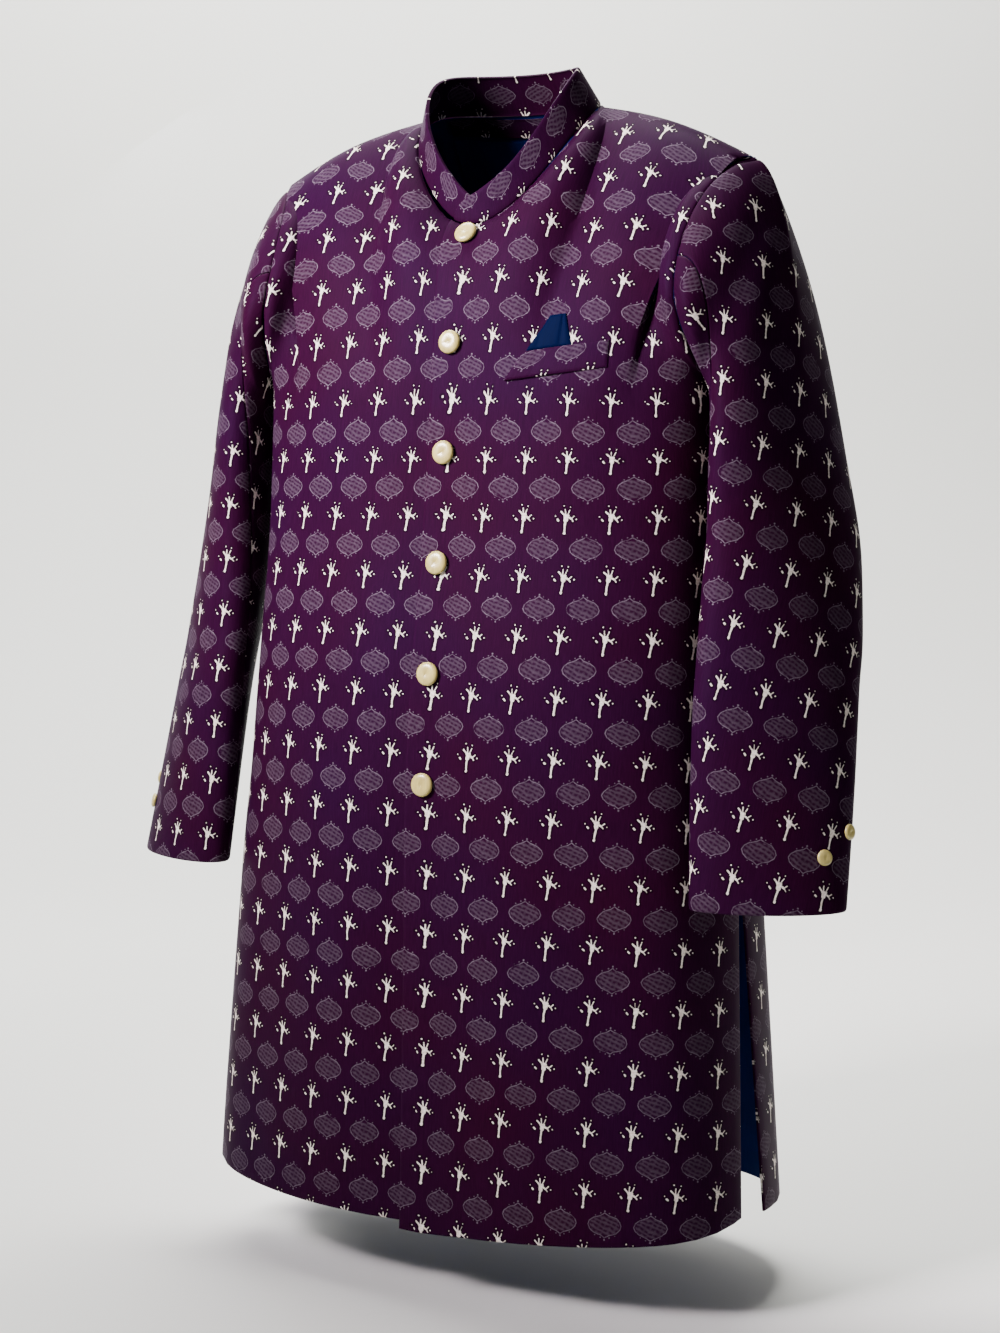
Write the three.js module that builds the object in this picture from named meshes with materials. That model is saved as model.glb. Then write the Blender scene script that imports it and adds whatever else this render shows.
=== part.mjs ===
// A man's long fitted coat with a band collar (a sherwani), filled out as when it is
// worn. Millimetres, +X the wearer's left, +Y the back, +Z up. The origin is the middle
// of the neck, level with the inner ends of the shoulder seams.
import * as THREE from "three";

// Cloth and seams
const WALL = 2; // brocade and its lining together
const SEAM_GAP = 0.3;
const COLLAR_WALL = 2.4;
const BUTTON_STAND = 0.6; // the shank holds a button this far off the cloth
const INNER_WALL = 1; // facing and lining pieces that show inside the neck
const INNER_STAND = 0.8; // they lie this far off the back's inner face

// Lengths of the coat
const HEM_Z = -949; // at the middle of the front and back
const FRONT_HEM_RISE = 24; // the hem lies this much higher at the side slits
const BACK_HEM_RISE = 10;
const LEFT_HEM_DROP = 7; // the overlapping left front hangs this much lower
const HEM_POWER = 2; // how late the hem rises towards the slits
const LEFT_HEM_POWER = 1.2;
const CHEST_Z = -264; // above this line the panels close in to neck, shoulder and armhole
const SLIT_TOP_Z = -600;
const SLIT_GAPE = 24; // how far each edge of a side slit stands from its middle at the hem

// Front edges
const LEFT_PAST_CENTRE = 18;
const RIGHT_PAST_CENTRE = 34;
const TUCK = 4.2; // how far the right front lies behind the left one
const TUCK_FADE = 60; // width over which it comes forward again
const OVERLAP_HALF_WIDTH = 235; // half width of the body where the overlap is measured

// Neckline, an ellipse seen from above that dips to the front
const NECK = { half: 83, frontToBack: 67, middleY: 2, dip: 108, dipPower: 3.1 };
const SHOULDER_SWELL = 8; // rise of the shoulder seam over a straight line
const SHOULDER_ANGLE = 102; // where the shoulder seam meets the neckline, from the front

// Collar band
const COLLAR_HEIGHT = 33;
const COLLAR_END_HEIGHT = 3;
const COLLAR_END_ROUND = 48;
const COLLAR_LEAN = 24; // degrees inwards
const COLLAR_FORWARD = 13; // the top edge lies this much further forward
const COLLAR_TUCK = { from: 300, span: 40 }; // degrees over which the right end goes behind

// Buttons
const BUTTON_TOP_Z = -117;
const BUTTON_PITCH = 92;
const BUTTON_COUNT = 6;
const FRONT_BUTTON = { radius: 10, rim: 2.6, dome: 1.8 };
const CUFF_BUTTON = { radius: 6.5, rim: 2, dome: 1.2 };
const CUFF_BUTTONS = [
  { name: "upper", round: 0.685, drop: 604 },
  { name: "lower", round: 0.605, drop: 622 },
];

// Breast pocket
const WELT = { inner: 54, outer: 143, z: -242, height: 22, rise: 10, slant: 16, stand: 0.8 };
const SQUARE = { inner: 71, outer: 111, height: 27, innerSlant: 18, outerSlant: 8, wall: 1.2 };

// Level sections of the body, hem first: half width, front and back depth from the
// middle, where the side seam lies, and how square the section is (2 is an ellipse)
const BODY = [
  { z: -956, half: 257, front: 161, back: 134, seam: -38, square: 2.9 },
  { z: -800, half: 246, front: 155, back: 130, seam: -32, square: 2.85 },
  { z: -650, half: 236, front: 150, back: 125, seam: -26, square: 2.75 },
  { z: -577, half: 232, front: 147, back: 122, seam: -22, square: 2.6 },
  { z: -480, half: 225, front: 137, back: 120, seam: -18, square: 2.7 },
  { z: -370, half: 220, front: 119, back: 120, seam: -12, square: 2.8 },
  { z: -264, half: 219, front: 107, back: 122, seam: -8, square: 2.9 },
];

// Right round the armhole: 0 and 1 are the shoulder tip, 0.5 is the armpit. n is the
// way the body cloth faces there, share is where its column starts on the chest line.
const ARMHOLE = [
  { at: 0.0, x: 231, y: 8, z: -60, nx: 0.36, ny: 0, nz: 0.93, share: 0.46 },
  { at: 0.1, x: 218, y: -18, z: -68, nx: 0.32, ny: -0.42, nz: 0.85, share: 0.49 },
  { at: 0.2, x: 205, y: -46, z: -92, nx: 0.26, ny: -0.72, nz: 0.64, share: 0.52 },
  { at: 0.3, x: 198, y: -73, z: -133, nx: 0.2, ny: -0.93, nz: 0.3, share: 0.57 },
  { at: 0.38, x: 199, y: -86, z: -180, nx: 0.36, ny: -0.92, nz: 0.12, share: 0.66 },
  { at: 0.44, x: 209, y: -62, z: -226, nx: 0.8, ny: -0.6, nz: 0, share: 0.83 },
  { at: 0.5, x: 221, y: -8, z: -250, nx: 1, ny: 0, nz: 0, share: 1 },
  { at: 0.56, x: 213, y: 50, z: -228, nx: 0.8, ny: 0.6, nz: 0, share: 0.83 },
  { at: 0.63, x: 206, y: 84, z: -180, nx: 0.36, ny: 0.92, nz: 0.12, share: 0.66 },
  { at: 0.72, x: 205, y: 82, z: -130, nx: 0.2, ny: 0.93, nz: 0.3, share: 0.57 },
  { at: 0.82, x: 210, y: 60, z: -91, nx: 0.26, ny: 0.72, nz: 0.64, share: 0.52 },
  { at: 0.91, x: 220, y: 34, z: -69, nx: 0.32, ny: 0.42, nz: 0.85, share: 0.49 },
  { at: 1.0, x: 231, y: 8, z: -60, nx: 0.36, ny: 0, nz: 0.93, share: 0.46 },
];
const ARMHOLE_MIDDLE = new THREE.Vector3(210, -5, -150);
const NECK_SHARE = 0.22;
const NECK_NARROWING = 0.365; // columns past the centre close in by this share at the neck
const EDGE_PULL = 0.68; // how long the panels follow their upper edge
const EDGE_TURNING = 0.9; // how far their columns turn square to the armhole
const TURNING_SPAN = 1.3; // steps along the edge, from the neck on, over which they turn
const NECK_SLOPE = { side: 0.34, frontToBack: 0.72, up: 0.8 }; // how the cloth faces there

// Level rings of a sleeve, from the top down: centre, half length and half breadth of
// the flattened ring, and the turn of its length from +X, in degrees
const SLEEVE = [
  { drop: 300, x: 260, y: -13, long: 75, short: 32, turn: 70 },
  { drop: 388, x: 270, y: -23, long: 75, short: 35, turn: 58 },
  { drop: 520, x: 278, y: -56, long: 70, short: 31, turn: 42 },
  { drop: 666, x: 286, y: -88, long: 63, short: 27, turn: 26 },
];
const SLEEVE_HEAD_PULL = 0.38; // how far the sleeve head stands out before it falls
const SLEEVE_UNDER_LEAN = 72; // degrees by which the underside falls from the armpit
const SLEEVE_HEAD_FALL = 0.36; // how steeply the head falls on from the shoulder
const SLEEVE_SEAMS = { front: 4, back: 17 }; // in grid steps round the armhole

// Grid steps of the pieces
const STEPS = { neck: 8, shoulder: 5, armhole: 11, lower: 12, upper: 9 };
const SLEEVE_STEPS = { head: 6, arm: 6 };

// Colours and finish
const brocade = new THREE.MeshStandardMaterial({ color: "#4a1f52", roughness: 0.45, metalness: 0 });
const lining = new THREE.MeshStandardMaterial({ color: "#12366b", roughness: 0.35, metalness: 0 });
const horn = new THREE.MeshStandardMaterial({ color: "#ded9a8", roughness: 0.3, metalness: 0 });

const RAD = Math.PI / 180;
const OUTWARD = new THREE.Vector3(1, 0, 0);
const LEFT = 1;
const RIGHT = -1;

// Small tools

function hermite(p0, p1, m0, m1, t) {
  const s = t * t * (3 - 2 * t);
  return p0 * (1 - s) + p1 * s + m0 * t * (1 - t) ** 2 - m1 * t * t * (1 - t);
}

function hermitePoint(p0, p1, m0, m1, t) {
  return new THREE.Vector3(
    hermite(p0.x, p1.x, m0.x, m1.x, t),
    hermite(p0.y, p1.y, m0.y, m1.y, t),
    hermite(p0.z, p1.z, m0.z, m1.z, t),
  );
}

// Smooth value of one named column of a table whose rows rise by their key
function smooth(rows, key, name, at) {
  const last = rows.length - 1;
  let i = 0;
  while (i < last - 1 && at > rows[i + 1][key]) i += 1;
  const slope = (j) => {
    const low = rows[Math.max(j - 1, 0)];
    const high = rows[Math.min(j + 1, last)];
    return (high[name] - low[name]) / (high[key] - low[key]);
  };
  const span = rows[i + 1][key] - rows[i][key];
  const t = THREE.MathUtils.clamp((at - rows[i][key]) / span, 0, 1);
  return hermite(rows[i][name], rows[i + 1][name], slope(i) * span, slope(i + 1) * span, t);
}

function ease(t) {
  return THREE.MathUtils.smoothstep(t, 0, 1);
}

function steps(from, to, count) {
  return Array.from({ length: count + 1 }, (_, i) => from + ((to - from) * i) / count);
}

function mirrored(sheet) {
  return (u, v) => {
    const spot = sheet(u, v);
    spot.point.x *= -1;
    spot.normal.x *= -1;
    return spot;
  };
}

// Neckline

function neckPoint(angle) {
  const a = angle * RAD;
  const fall = ((1 + Math.cos(a)) / 2) ** NECK.dipPower;
  return new THREE.Vector3(
    NECK.half * Math.sin(a),
    NECK.middleY - NECK.frontToBack * Math.cos(a),
    -NECK.dip * fall,
  );
}

// The way the body cloth faces along the neckline
function neckFacing(angle) {
  const a = angle * RAD;
  const { side, frontToBack, up } = NECK_SLOPE;
  return new THREE.Vector3(side * Math.sin(a), -frontToBack * Math.cos(a), up).normalize();
}

// Body surface. side is -1 on the front and 1 on the back.

function slitGape(z) {
  const open = Math.max(0, (SLIT_TOP_Z - z) / (SLIT_TOP_Z - HEM_Z));
  return SEAM_GAP / 2 + SLIT_GAPE * open;
}

function bodyPoint(side, share, z) {
  const row = (name) => smooth(BODY, "z", name, z);
  const seam = row("seam");
  const depth = side < 0 ? row("front") + seam : row("back") - seam;
  const reach = 1 - slitGape(z) / (depth * Math.PI * 0.5);
  const a = share * reach * Math.PI * 0.5;
  const s = Math.abs(Math.sin(a));
  const c = Math.abs(Math.cos(a));
  const square = row("square");
  const swell = (s ** square + c ** square) ** (-1 / square);
  return new THREE.Vector3(row("half") * Math.sin(a) * swell, seam + side * depth * c * swell, z);
}

// Upper edge of half a panel: 0 to 1 neckline, 1 to 2 shoulder seam, 2 to 3 armhole
function edgeSpot(side, along) {
  if (along <= 1) {
    const end = side < 0 ? 0 : 180;
    const angle = end + (SHOULDER_ANGLE - end) * along;
    return { point: neckPoint(angle), normal: neckFacing(angle), share: NECK_SHARE * along };
  }
  if (along <= 2) {
    const t = along - 1;
    const inner = neckPoint(SHOULDER_ANGLE);
    const tip = armholeSpot(0);
    const point = inner.clone().lerp(tip.point, t);
    point.z += SHOULDER_SWELL * Math.sin(Math.PI * t);
    const normal = neckFacing(SHOULDER_ANGLE).lerp(tip.normal, t).normalize();
    return { point, normal, share: NECK_SHARE + (tip.share - NECK_SHARE) * t };
  }
  const half = (along - 2) / 2;
  return armholeSpot(side < 0 ? half : 1 - half);
}

function armholeSpot(at) {
  const value = (name) => smooth(ARMHOLE, "at", name, at);
  return {
    point: new THREE.Vector3(value("x"), value("y"), value("z")),
    normal: new THREE.Vector3(value("nx"), value("ny"), value("nz")).normalize(),
    share: value("share"),
  };
}

// The way the cloth runs out over the upper edge, square to it
function edgeLeave(side, along, normal) {
  const step = 0.04;
  const before = edgeSpot(side, Math.max(along - step, 0)).point;
  const after = edgeSpot(side, Math.min(along + step, 3)).point;
  const leave = new THREE.Vector3().crossVectors(normal, after.sub(before)).normalize();
  return leave.multiplyScalar(-side);
}

// across is -1 to 0 past the centre line and 0 to 3 from there to the armpit; up is 0 to
// 1 from the hem to the chest line and 1 to 2 from there to the upper edge
function panelPoint(panel, across, up) {
  const { side, hemZ } = panel;
  if (across < 0) {
    const bend = Math.asin(panel.pastCentre / OVERLAP_HALF_WIDTH) / (Math.PI / 2) / NECK_SHARE;
    const narrowing = up > 1 ? 1 - NECK_NARROWING * (up - 1) : 1;
    const point = panelPoint(panel, -across * bend * narrowing, up);
    point.x *= -1;
    return point;
  }
  if (across > 3) return panelPoint({ ...panel, side: -side }, 6 - across, up);
  const edge = edgeSpot(side, across);
  const hem = hemZ + panel.hemRise * edge.share ** panel.hemPower;
  if (up <= 1) return bodyPoint(side, edge.share, hem + (CHEST_Z - hem) * up);
  const start = bodyPoint(side, edge.share, CHEST_Z);
  const rise = start.clone().sub(bodyPoint(side, edge.share, CHEST_Z - 4)).divideScalar(4);
  const leave = edgeLeave(side, across, edge.normal);
  const end = edge.point.addScaledVector(leave, -SEAM_GAP / 2);
  const chord = end.clone().sub(start);
  const reach = chord.length();
  const flow = chord.projectOnPlane(edge.normal).normalize();
  const turning = EDGE_TURNING * ease((across - 1) / TURNING_SPAN);
  const arrive = flow.lerp(leave, turning).normalize().multiplyScalar(reach * EDGE_PULL);
  return hermitePoint(start, end, rise.multiplyScalar(reach), arrive, up - 1);
}

function slopeNormal(pointAt, u, v, stepU, stepV, range) {
  const low = Math.max(v - stepV, range[0]);
  const high = Math.min(v + stepV, range[1]);
  const du = pointAt(u + stepU, v).sub(pointAt(u - stepU, v));
  const dv = pointAt(u, high).sub(pointAt(u, low));
  return du.cross(dv).normalize();
}

// A panel with its facing direction. The right front lies behind the left one where
// they overlap.
function panelSheet(panel) {
  const pointAt = (u, v) => panelPoint(panel, u, v);
  return (across, up) => {
    const point = pointAt(across, up);
    let normal = slopeNormal(pointAt, across, up, 0.02, 0.02, [0, 2]).multiplyScalar(-panel.side);
    if (up === 2) normal = edgeSpot(panel.side, Math.abs(across)).normal;
    const behind = panel.tucked ? TUCK * ease((TUCK_FADE - point.x) / TUCK_FADE) : 0;
    return { point: point.addScaledVector(normal, -behind), normal };
  };
}

// A closed wall of cloth under a sheet: outer face, inner face and four rims
function wallGeometry(sheet, us, vs, thickness, lift = 0, flip = false) {
  const positions = [];
  const indices = [];
  const rows = us.length;
  const cols = vs.length;
  for (const depth of [lift, lift - thickness]) {
    for (const u of us) {
      for (const v of vs) {
        const { point, normal } = sheet(u, v);
        positions.push(...point.addScaledVector(normal, depth).toArray());
      }
    }
  }
  const inner = rows * cols;
  const quad = (a, b, c, d) => {
    if (flip) indices.push(a, c, b, a, d, c);
    else indices.push(a, b, c, a, c, d);
  };
  const at = (i, j) => i * cols + j;
  for (let i = 0; i < rows - 1; i += 1) {
    for (let j = 0; j < cols - 1; j += 1) {
      quad(at(i, j), at(i + 1, j), at(i + 1, j + 1), at(i, j + 1));
      quad(inner + at(i, j), inner + at(i, j + 1), inner + at(i + 1, j + 1), inner + at(i + 1, j));
    }
  }
  const rim = (a, b) => quad(a, inner + a, inner + b, b);
  const rimCrossed = (a, b) => quad(inner + a, inner + b, b, a);
  for (let i = 0; i < rows - 1; i += 1) {
    rim(at(i, 0), at(i + 1, 0));
    rim(at(i + 1, cols - 1), at(i, cols - 1));
  }
  for (let j = 0; j < cols - 1; j += 1) {
    rimCrossed(at(0, j + 1), at(0, j));
    rim(at(rows - 1, j), at(rows - 1, j + 1));
  }
  const geometry = new THREE.BufferGeometry();
  geometry.setAttribute("position", new THREE.Float32BufferAttribute(positions, 3));
  geometry.setIndex(indices);
  geometry.computeVertexNormals();
  return geometry;
}

const coat = new THREE.Group();

function add(name, geometry, material) {
  const mesh = new THREE.Mesh(geometry, material);
  mesh.name = name;
  coat.add(mesh);
  return mesh;
}

// Fronts and back

const FRONT = { side: -1, hemZ: HEM_Z, hemRise: FRONT_HEM_RISE, hemPower: HEM_POWER };
const LEFT_FRONT = {
  ...FRONT,
  hemZ: HEM_Z - LEFT_HEM_DROP,
  hemPower: LEFT_HEM_POWER,
  pastCentre: LEFT_PAST_CENTRE,
};
const RIGHT_FRONT = { ...FRONT, pastCentre: RIGHT_PAST_CENTRE, tucked: true };
const BACK = {
  side: 1,
  hemZ: HEM_Z,
  hemRise: BACK_HEM_RISE,
  hemPower: HEM_POWER,
  pastCentre: LEFT_PAST_CENTRE,
};

const halfAcross = [
  ...steps(0, 1, STEPS.neck),
  ...steps(1, 2, STEPS.shoulder).slice(1),
  ...steps(2, 3, STEPS.armhole).slice(1),
];
const panelUp = [...steps(0, 1, STEPS.lower), ...steps(1, 2, STEPS.upper).slice(1)];
const leftFront = panelSheet(LEFT_FRONT);
const rightFront = mirrored(panelSheet(RIGHT_FRONT));

// The back's two halves in one sheet, across running -3 to 3
function backSheet(across, up) {
  const half = panelSheet(BACK);
  return across < 0 ? mirrored(half)(-across, up) : half(across, up);
}

function addPanels() {
  const front = [-1, -0.5, ...halfAcross];
  add("front_left", wallGeometry(leftFront, front, panelUp, WALL), brocade);
  add("front_right", wallGeometry(rightFront, front, panelUp, WALL, 0, true), brocade);
  const across = [...halfAcross.slice(1).map((u) => -u).reverse(), ...halfAcross];
  add("back", wallGeometry(backSheet, across, panelUp, WALL, 0, true), brocade);
}

// Sleeves. round runs 0 to 1 from beside the body, over the front, the outer side and
// the back; down runs 0 to 1 from the armhole to the first ring and 1 to 2 to the cuff.

const SLEEVE_TOP = SLEEVE[0].drop;
const CUFF = SLEEVE[SLEEVE.length - 1].drop;

function ringPoint(round, drop) {
  const row = (name) => smooth(SLEEVE, "drop", name, drop);
  const turn = row("turn") * RAD;
  const a = (270 - 360 * round) * RAD;
  const along = row("long") * Math.cos(a);
  const out = row("short") * Math.sin(a);
  return new THREE.Vector3(
    row("x") + along * Math.cos(turn) + out * Math.sin(turn),
    row("y") + along * Math.sin(turn) - out * Math.cos(turn),
    -drop,
  );
}

function sleevePoint(round, down) {
  if (down >= 1) return ringPoint(round, SLEEVE_TOP + (CUFF - SLEEVE_TOP) * (down - 1));
  const turn = ((round % 1) + 1) % 1;
  const seam = armholeSpot((1.5 - turn) % 1).point;
  const start = seam.clone().addScaledVector(OUTWARD, SEAM_GAP);
  const end = ringPoint(round, SLEEVE_TOP);
  const reach = start.distanceTo(end);
  const away = seam.sub(ARMHOLE_MIDDLE).setX(0).normalize();
  const topness = (1 - Math.cos(2 * Math.PI * turn)) / 2;
  const lean = SLEEVE_UNDER_LEAN * RAD * (1 - topness) ** 4;
  const leave = OUTWARD.clone().multiplyScalar(Math.cos(lean)).addScaledVector(away, Math.sin(lean));
  leave.z -= SLEEVE_HEAD_FALL * topness ** 2;
  const fall = ringPoint(round, SLEEVE_TOP + 4).sub(end).divideScalar(4);
  const pull = reach * (1 + (SLEEVE_HEAD_PULL - 1) * topness);
  return hermitePoint(start, end, leave.normalize().multiplyScalar(pull), fall.multiplyScalar(reach), down);
}

function sleeveSheet(round, down) {
  const normal = slopeNormal(sleevePoint, round, down, 0.01, 0.02, [0, 2]).negate();
  return { point: sleevePoint(round, down), normal };
}

function addSleeve(side, label) {
  const sheet = side === LEFT ? sleeveSheet : mirrored(sleeveSheet);
  const around = 2 * STEPS.armhole;
  const nick = SEAM_GAP / 400; // over half the gap, as a share of the way round the cloth
  const front = SLEEVE_SEAMS.front / around;
  const back = SLEEVE_SEAMS.back / around;
  const downs = [
    ...steps(0, 1, SLEEVE_STEPS.head),
    ...steps(1, 2, SLEEVE_STEPS.arm).slice(1),
  ];
  const top = steps(front, back, SLEEVE_SEAMS.back - SLEEVE_SEAMS.front);
  const under = steps(back - 1, front, around - SLEEVE_SEAMS.back + SLEEVE_SEAMS.front);
  for (const rounds of [top, under]) {
    rounds[0] += nick;
    rounds[rounds.length - 1] -= nick;
  }
  const flip = side === LEFT;
  add(`sleeve_${label}_top`, wallGeometry(sheet, top, downs, WALL, 0, flip), brocade);
  add(`sleeve_${label}_under`, wallGeometry(sheet, under, downs, WALL, 0, flip), brocade);
}

// Collar band, one piece round the neck. angle runs from its left end, in front of the
// right end, round the back and to its right end.

const COLLAR_FROM = -Math.asin(LEFT_PAST_CENTRE / NECK.half) / RAD;
const COLLAR_TO = 368;

function collarPoint(angle, height) {
  const a = angle * RAD;
  const inward = new THREE.Vector3(-Math.sin(a), Math.cos(a), 0);
  const fromEnd = Math.min(angle - COLLAR_FROM, COLLAR_TO - angle) * RAD * NECK.half;
  const rounding = 1 - THREE.MathUtils.clamp(fromEnd / COLLAR_END_ROUND, 0, 1);
  const roundEnd = Math.sqrt(1 - rounding ** 2);
  const tall = COLLAR_END_HEIGHT + (COLLAR_HEIGHT - COLLAR_END_HEIGHT) * roundEnd;
  const up = SEAM_GAP + tall * height;
  const lean = COLLAR_LEAN * RAD;
  const behind = TUCK * ease((angle - COLLAR_TUCK.from) / COLLAR_TUCK.span);
  const point = neckPoint(angle).addScaledVector(inward, up * Math.sin(lean) + behind);
  point.y -= (COLLAR_FORWARD * up) / COLLAR_HEIGHT;
  point.z += up * Math.cos(lean);
  return point;
}

function collarSheet(angle, height) {
  const normal = slopeNormal(collarPoint, angle, height, 1, 0.05, [0, 1]);
  return { point: collarPoint(angle, height), normal };
}

function addCollar() {
  const angles = [
    ...steps(COLLAR_FROM, 0, 2),
    ...steps(0, SHOULDER_ANGLE, STEPS.neck).slice(1),
    ...steps(SHOULDER_ANGLE, 180, STEPS.neck).slice(1),
    ...steps(180, 360 - SHOULDER_ANGLE, STEPS.neck).slice(1),
    ...steps(360 - SHOULDER_ANGLE, 360, STEPS.neck).slice(1),
    COLLAR_TO,
  ];
  add("collar", wallGeometry(collarSheet, angles, steps(0, 1, 3), COLLAR_WALL), brocade);
}

// Facing and lining that show inside the back of the neck
function addInside() {
  const inside = -WALL - INNER_STAND;
  const row = (count) => 1 + count / STEPS.upper;
  const neck = steps(-0.875, 0.875, 14);
  const facingUp = [row(7) + 0.01, 1.985];
  add("back_neck_facing", wallGeometry(backSheet, neck, facingUp, INNER_WALL, inside, true), brocade);
  const liningUp = [row(4), row(5), row(6), row(7) - 0.01];
  add("back_lining", wallGeometry(backSheet, neck, liningUp, INNER_WALL, inside, true), lining);
}

// Spot of the left front's outer face at a given x and z
function frontSpot(x, z) {
  let across = x / 90;
  let up = 1.1;
  const step = 0.01;
  for (let turn = 0; turn < 12; turn += 1) {
    const here = panelPoint(LEFT_FRONT, across, up);
    const du = panelPoint(LEFT_FRONT, across + step, up).sub(here).divideScalar(step);
    const dv = panelPoint(LEFT_FRONT, across, up + step).sub(here).divideScalar(step);
    const scale = du.x * dv.z - du.z * dv.x;
    const dx = x - here.x;
    const dz = z - here.z;
    across += (dx * dv.z - dz * dv.x) / scale;
    up += (dz * du.x - dx * du.z) / scale;
  }
  return leftFront(across, up);
}

// Breast pocket: a slanting welt and the folded square that stands out of it
function addPocket() {
  const { inner, outer, slant, rise, height } = WELT;
  const lineZ = (x) => WELT.z + (rise * (x - inner)) / (outer - inner);
  const welt = (u, v) => {
    const x = inner + slant * v + (outer - inner - slant * v) * u;
    return frontSpot(x, lineZ(x) + height * v);
  };
  add("pocket_welt", wallGeometry(welt, steps(0, 1, 8), steps(0, 1, 2), WALL, WALL + WELT.stand), brocade);
  const square = (u, v) => {
    const low = SQUARE.inner + SQUARE.innerSlant * v;
    const high = SQUARE.outer - SQUARE.outerSlant * v;
    const x = low + (high - low) * u;
    return frontSpot(x, lineZ(x) + height + SEAM_GAP + SQUARE.height * v);
  };
  const lift = SQUARE.wall + WELT.stand;
  add("pocket_square", wallGeometry(square, steps(0, 1, 5), steps(0, 1, 3), SQUARE.wall, lift), lining);
}

// Buttons: a flat back, a rounded rim and a low dome with a dished middle

function buttonGeometry({ radius, rim, dome }) {
  const profile = [
    new THREE.Vector2(0, 0),
    new THREE.Vector2(radius * 0.9, 0),
    new THREE.Vector2(radius, rim * 0.35),
    new THREE.Vector2(radius * 0.96, rim),
    new THREE.Vector2(radius * 0.66, rim + dome),
    new THREE.Vector2(0, rim + dome * 0.6),
  ];
  return new THREE.LatheGeometry(profile, 18).rotateX(Math.PI / 2);
}

function addButton(name, size, spot) {
  const button = add(name, buttonGeometry(size), horn);
  button.position.copy(spot.point).addScaledVector(spot.normal, BUTTON_STAND);
  button.quaternion.setFromUnitVectors(new THREE.Vector3(0, 0, 1), spot.normal);
}

function addButtons() {
  for (let i = 0; i < BUTTON_COUNT; i += 1) {
    addButton(`button_front_${i + 1}`, FRONT_BUTTON, frontSpot(0, BUTTON_TOP_Z - BUTTON_PITCH * i));
  }
  for (const [label, sheet] of [["left", sleeveSheet], ["right", mirrored(sleeveSheet)]]) {
    for (const { name, round, drop } of CUFF_BUTTONS) {
      const down = 1 + (drop - SLEEVE_TOP) / (CUFF - SLEEVE_TOP);
      addButton(`button_cuff_${label}_${name}`, CUFF_BUTTON, sheet(round, down));
    }
  }
}

addPanels();
addSleeve(LEFT, "left");
addSleeve(RIGHT, "right");
addCollar();
addInside();
addPocket();
addButtons();

export default coat;
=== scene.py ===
# A sherwani, a man's long coat with a band collar, in violet and wine brocade, filled
# out as when it is worn. Its own sizes are in millimetres, Blender's objects in metres.
import math
from functools import partial

import bpy
import numpy as np
from bpy.props import FloatProperty, FloatVectorProperty, PointerProperty
from mathutils import Matrix, Vector


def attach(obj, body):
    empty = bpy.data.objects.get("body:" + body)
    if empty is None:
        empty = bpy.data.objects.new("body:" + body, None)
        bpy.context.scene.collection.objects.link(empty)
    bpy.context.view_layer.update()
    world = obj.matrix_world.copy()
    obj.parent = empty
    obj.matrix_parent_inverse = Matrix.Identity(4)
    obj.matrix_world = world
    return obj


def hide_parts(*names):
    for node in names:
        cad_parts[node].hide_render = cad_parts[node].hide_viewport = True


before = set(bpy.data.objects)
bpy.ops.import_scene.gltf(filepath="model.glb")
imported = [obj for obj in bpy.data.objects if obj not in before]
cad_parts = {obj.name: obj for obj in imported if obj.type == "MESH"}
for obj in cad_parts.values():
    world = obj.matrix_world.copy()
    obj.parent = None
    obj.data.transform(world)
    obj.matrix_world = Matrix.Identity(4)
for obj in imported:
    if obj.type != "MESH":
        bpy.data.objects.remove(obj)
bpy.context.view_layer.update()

bl_info = {
    "name": "Sherwani",
    "version": (1, 0, 0),
    "blender": (4, 5, 0),
    "location": "View3D > Sidebar > Sherwani",
    "description": "Makes a brocade sherwani in a pale studio",
    "category": "Object",
}

MM = 0.001


def linear(hex_colour):
    """An sRGB hex colour as linear red, green and blue."""
    channels = [int(hex_colour[i : i + 2], 16) / 255 for i in (1, 3, 5)]
    return tuple(c / 12.92 if c <= 0.04045 else ((c + 0.055) / 1.055) ** 2.4 for c in channels)


# Measurements of the coat, in millimetres and degrees


def table(names, *rows):
    """Rows of numbers as one column per name."""
    return dict(zip(names.split(), np.array(rows, float).T))


WALL = 2.0
SEAM_GAP = 0.3
COLLAR_WALL = 2.4
INNER_WALL = 1.0
INNER_STAND = 0.8
BUTTON_STAND = 0.6

HEM_Z = -949
FRONT_HEM_RISE = 24
BACK_HEM_RISE = 10
LEFT_HEM_DROP = 7
HEM_POWER = 2
LEFT_HEM_POWER = 1.2
CHEST_Z = -264
SLIT_TOP_Z = -600
SLIT_GAPE = 24
LEFT_PAST_CENTRE = 18
RIGHT_PAST_CENTRE = 34
TUCK = 4.2
TUCK_FADE = 60
OVERLAP_HALF_WIDTH = 235

NECK_HALF = 83
NECK_FRONT_TO_BACK = 67
NECK_MIDDLE_Y = 2
NECK_DIP = 108
NECK_DIP_POWER = 3.1
NECK_SLOPE = (0.34, 0.72, 0.8)
SHOULDER_SWELL = 8
SHOULDER_ANGLE = 102

COLLAR_HEIGHT = 33
COLLAR_END_HEIGHT = 3
COLLAR_END_ROUND = 48
COLLAR_LEAN = 24
COLLAR_FORWARD = 13
COLLAR_TUCK = (300, 40)
COLLAR_FROM = -math.degrees(math.asin(LEFT_PAST_CENTRE / NECK_HALF))
COLLAR_TO = 368

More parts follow.
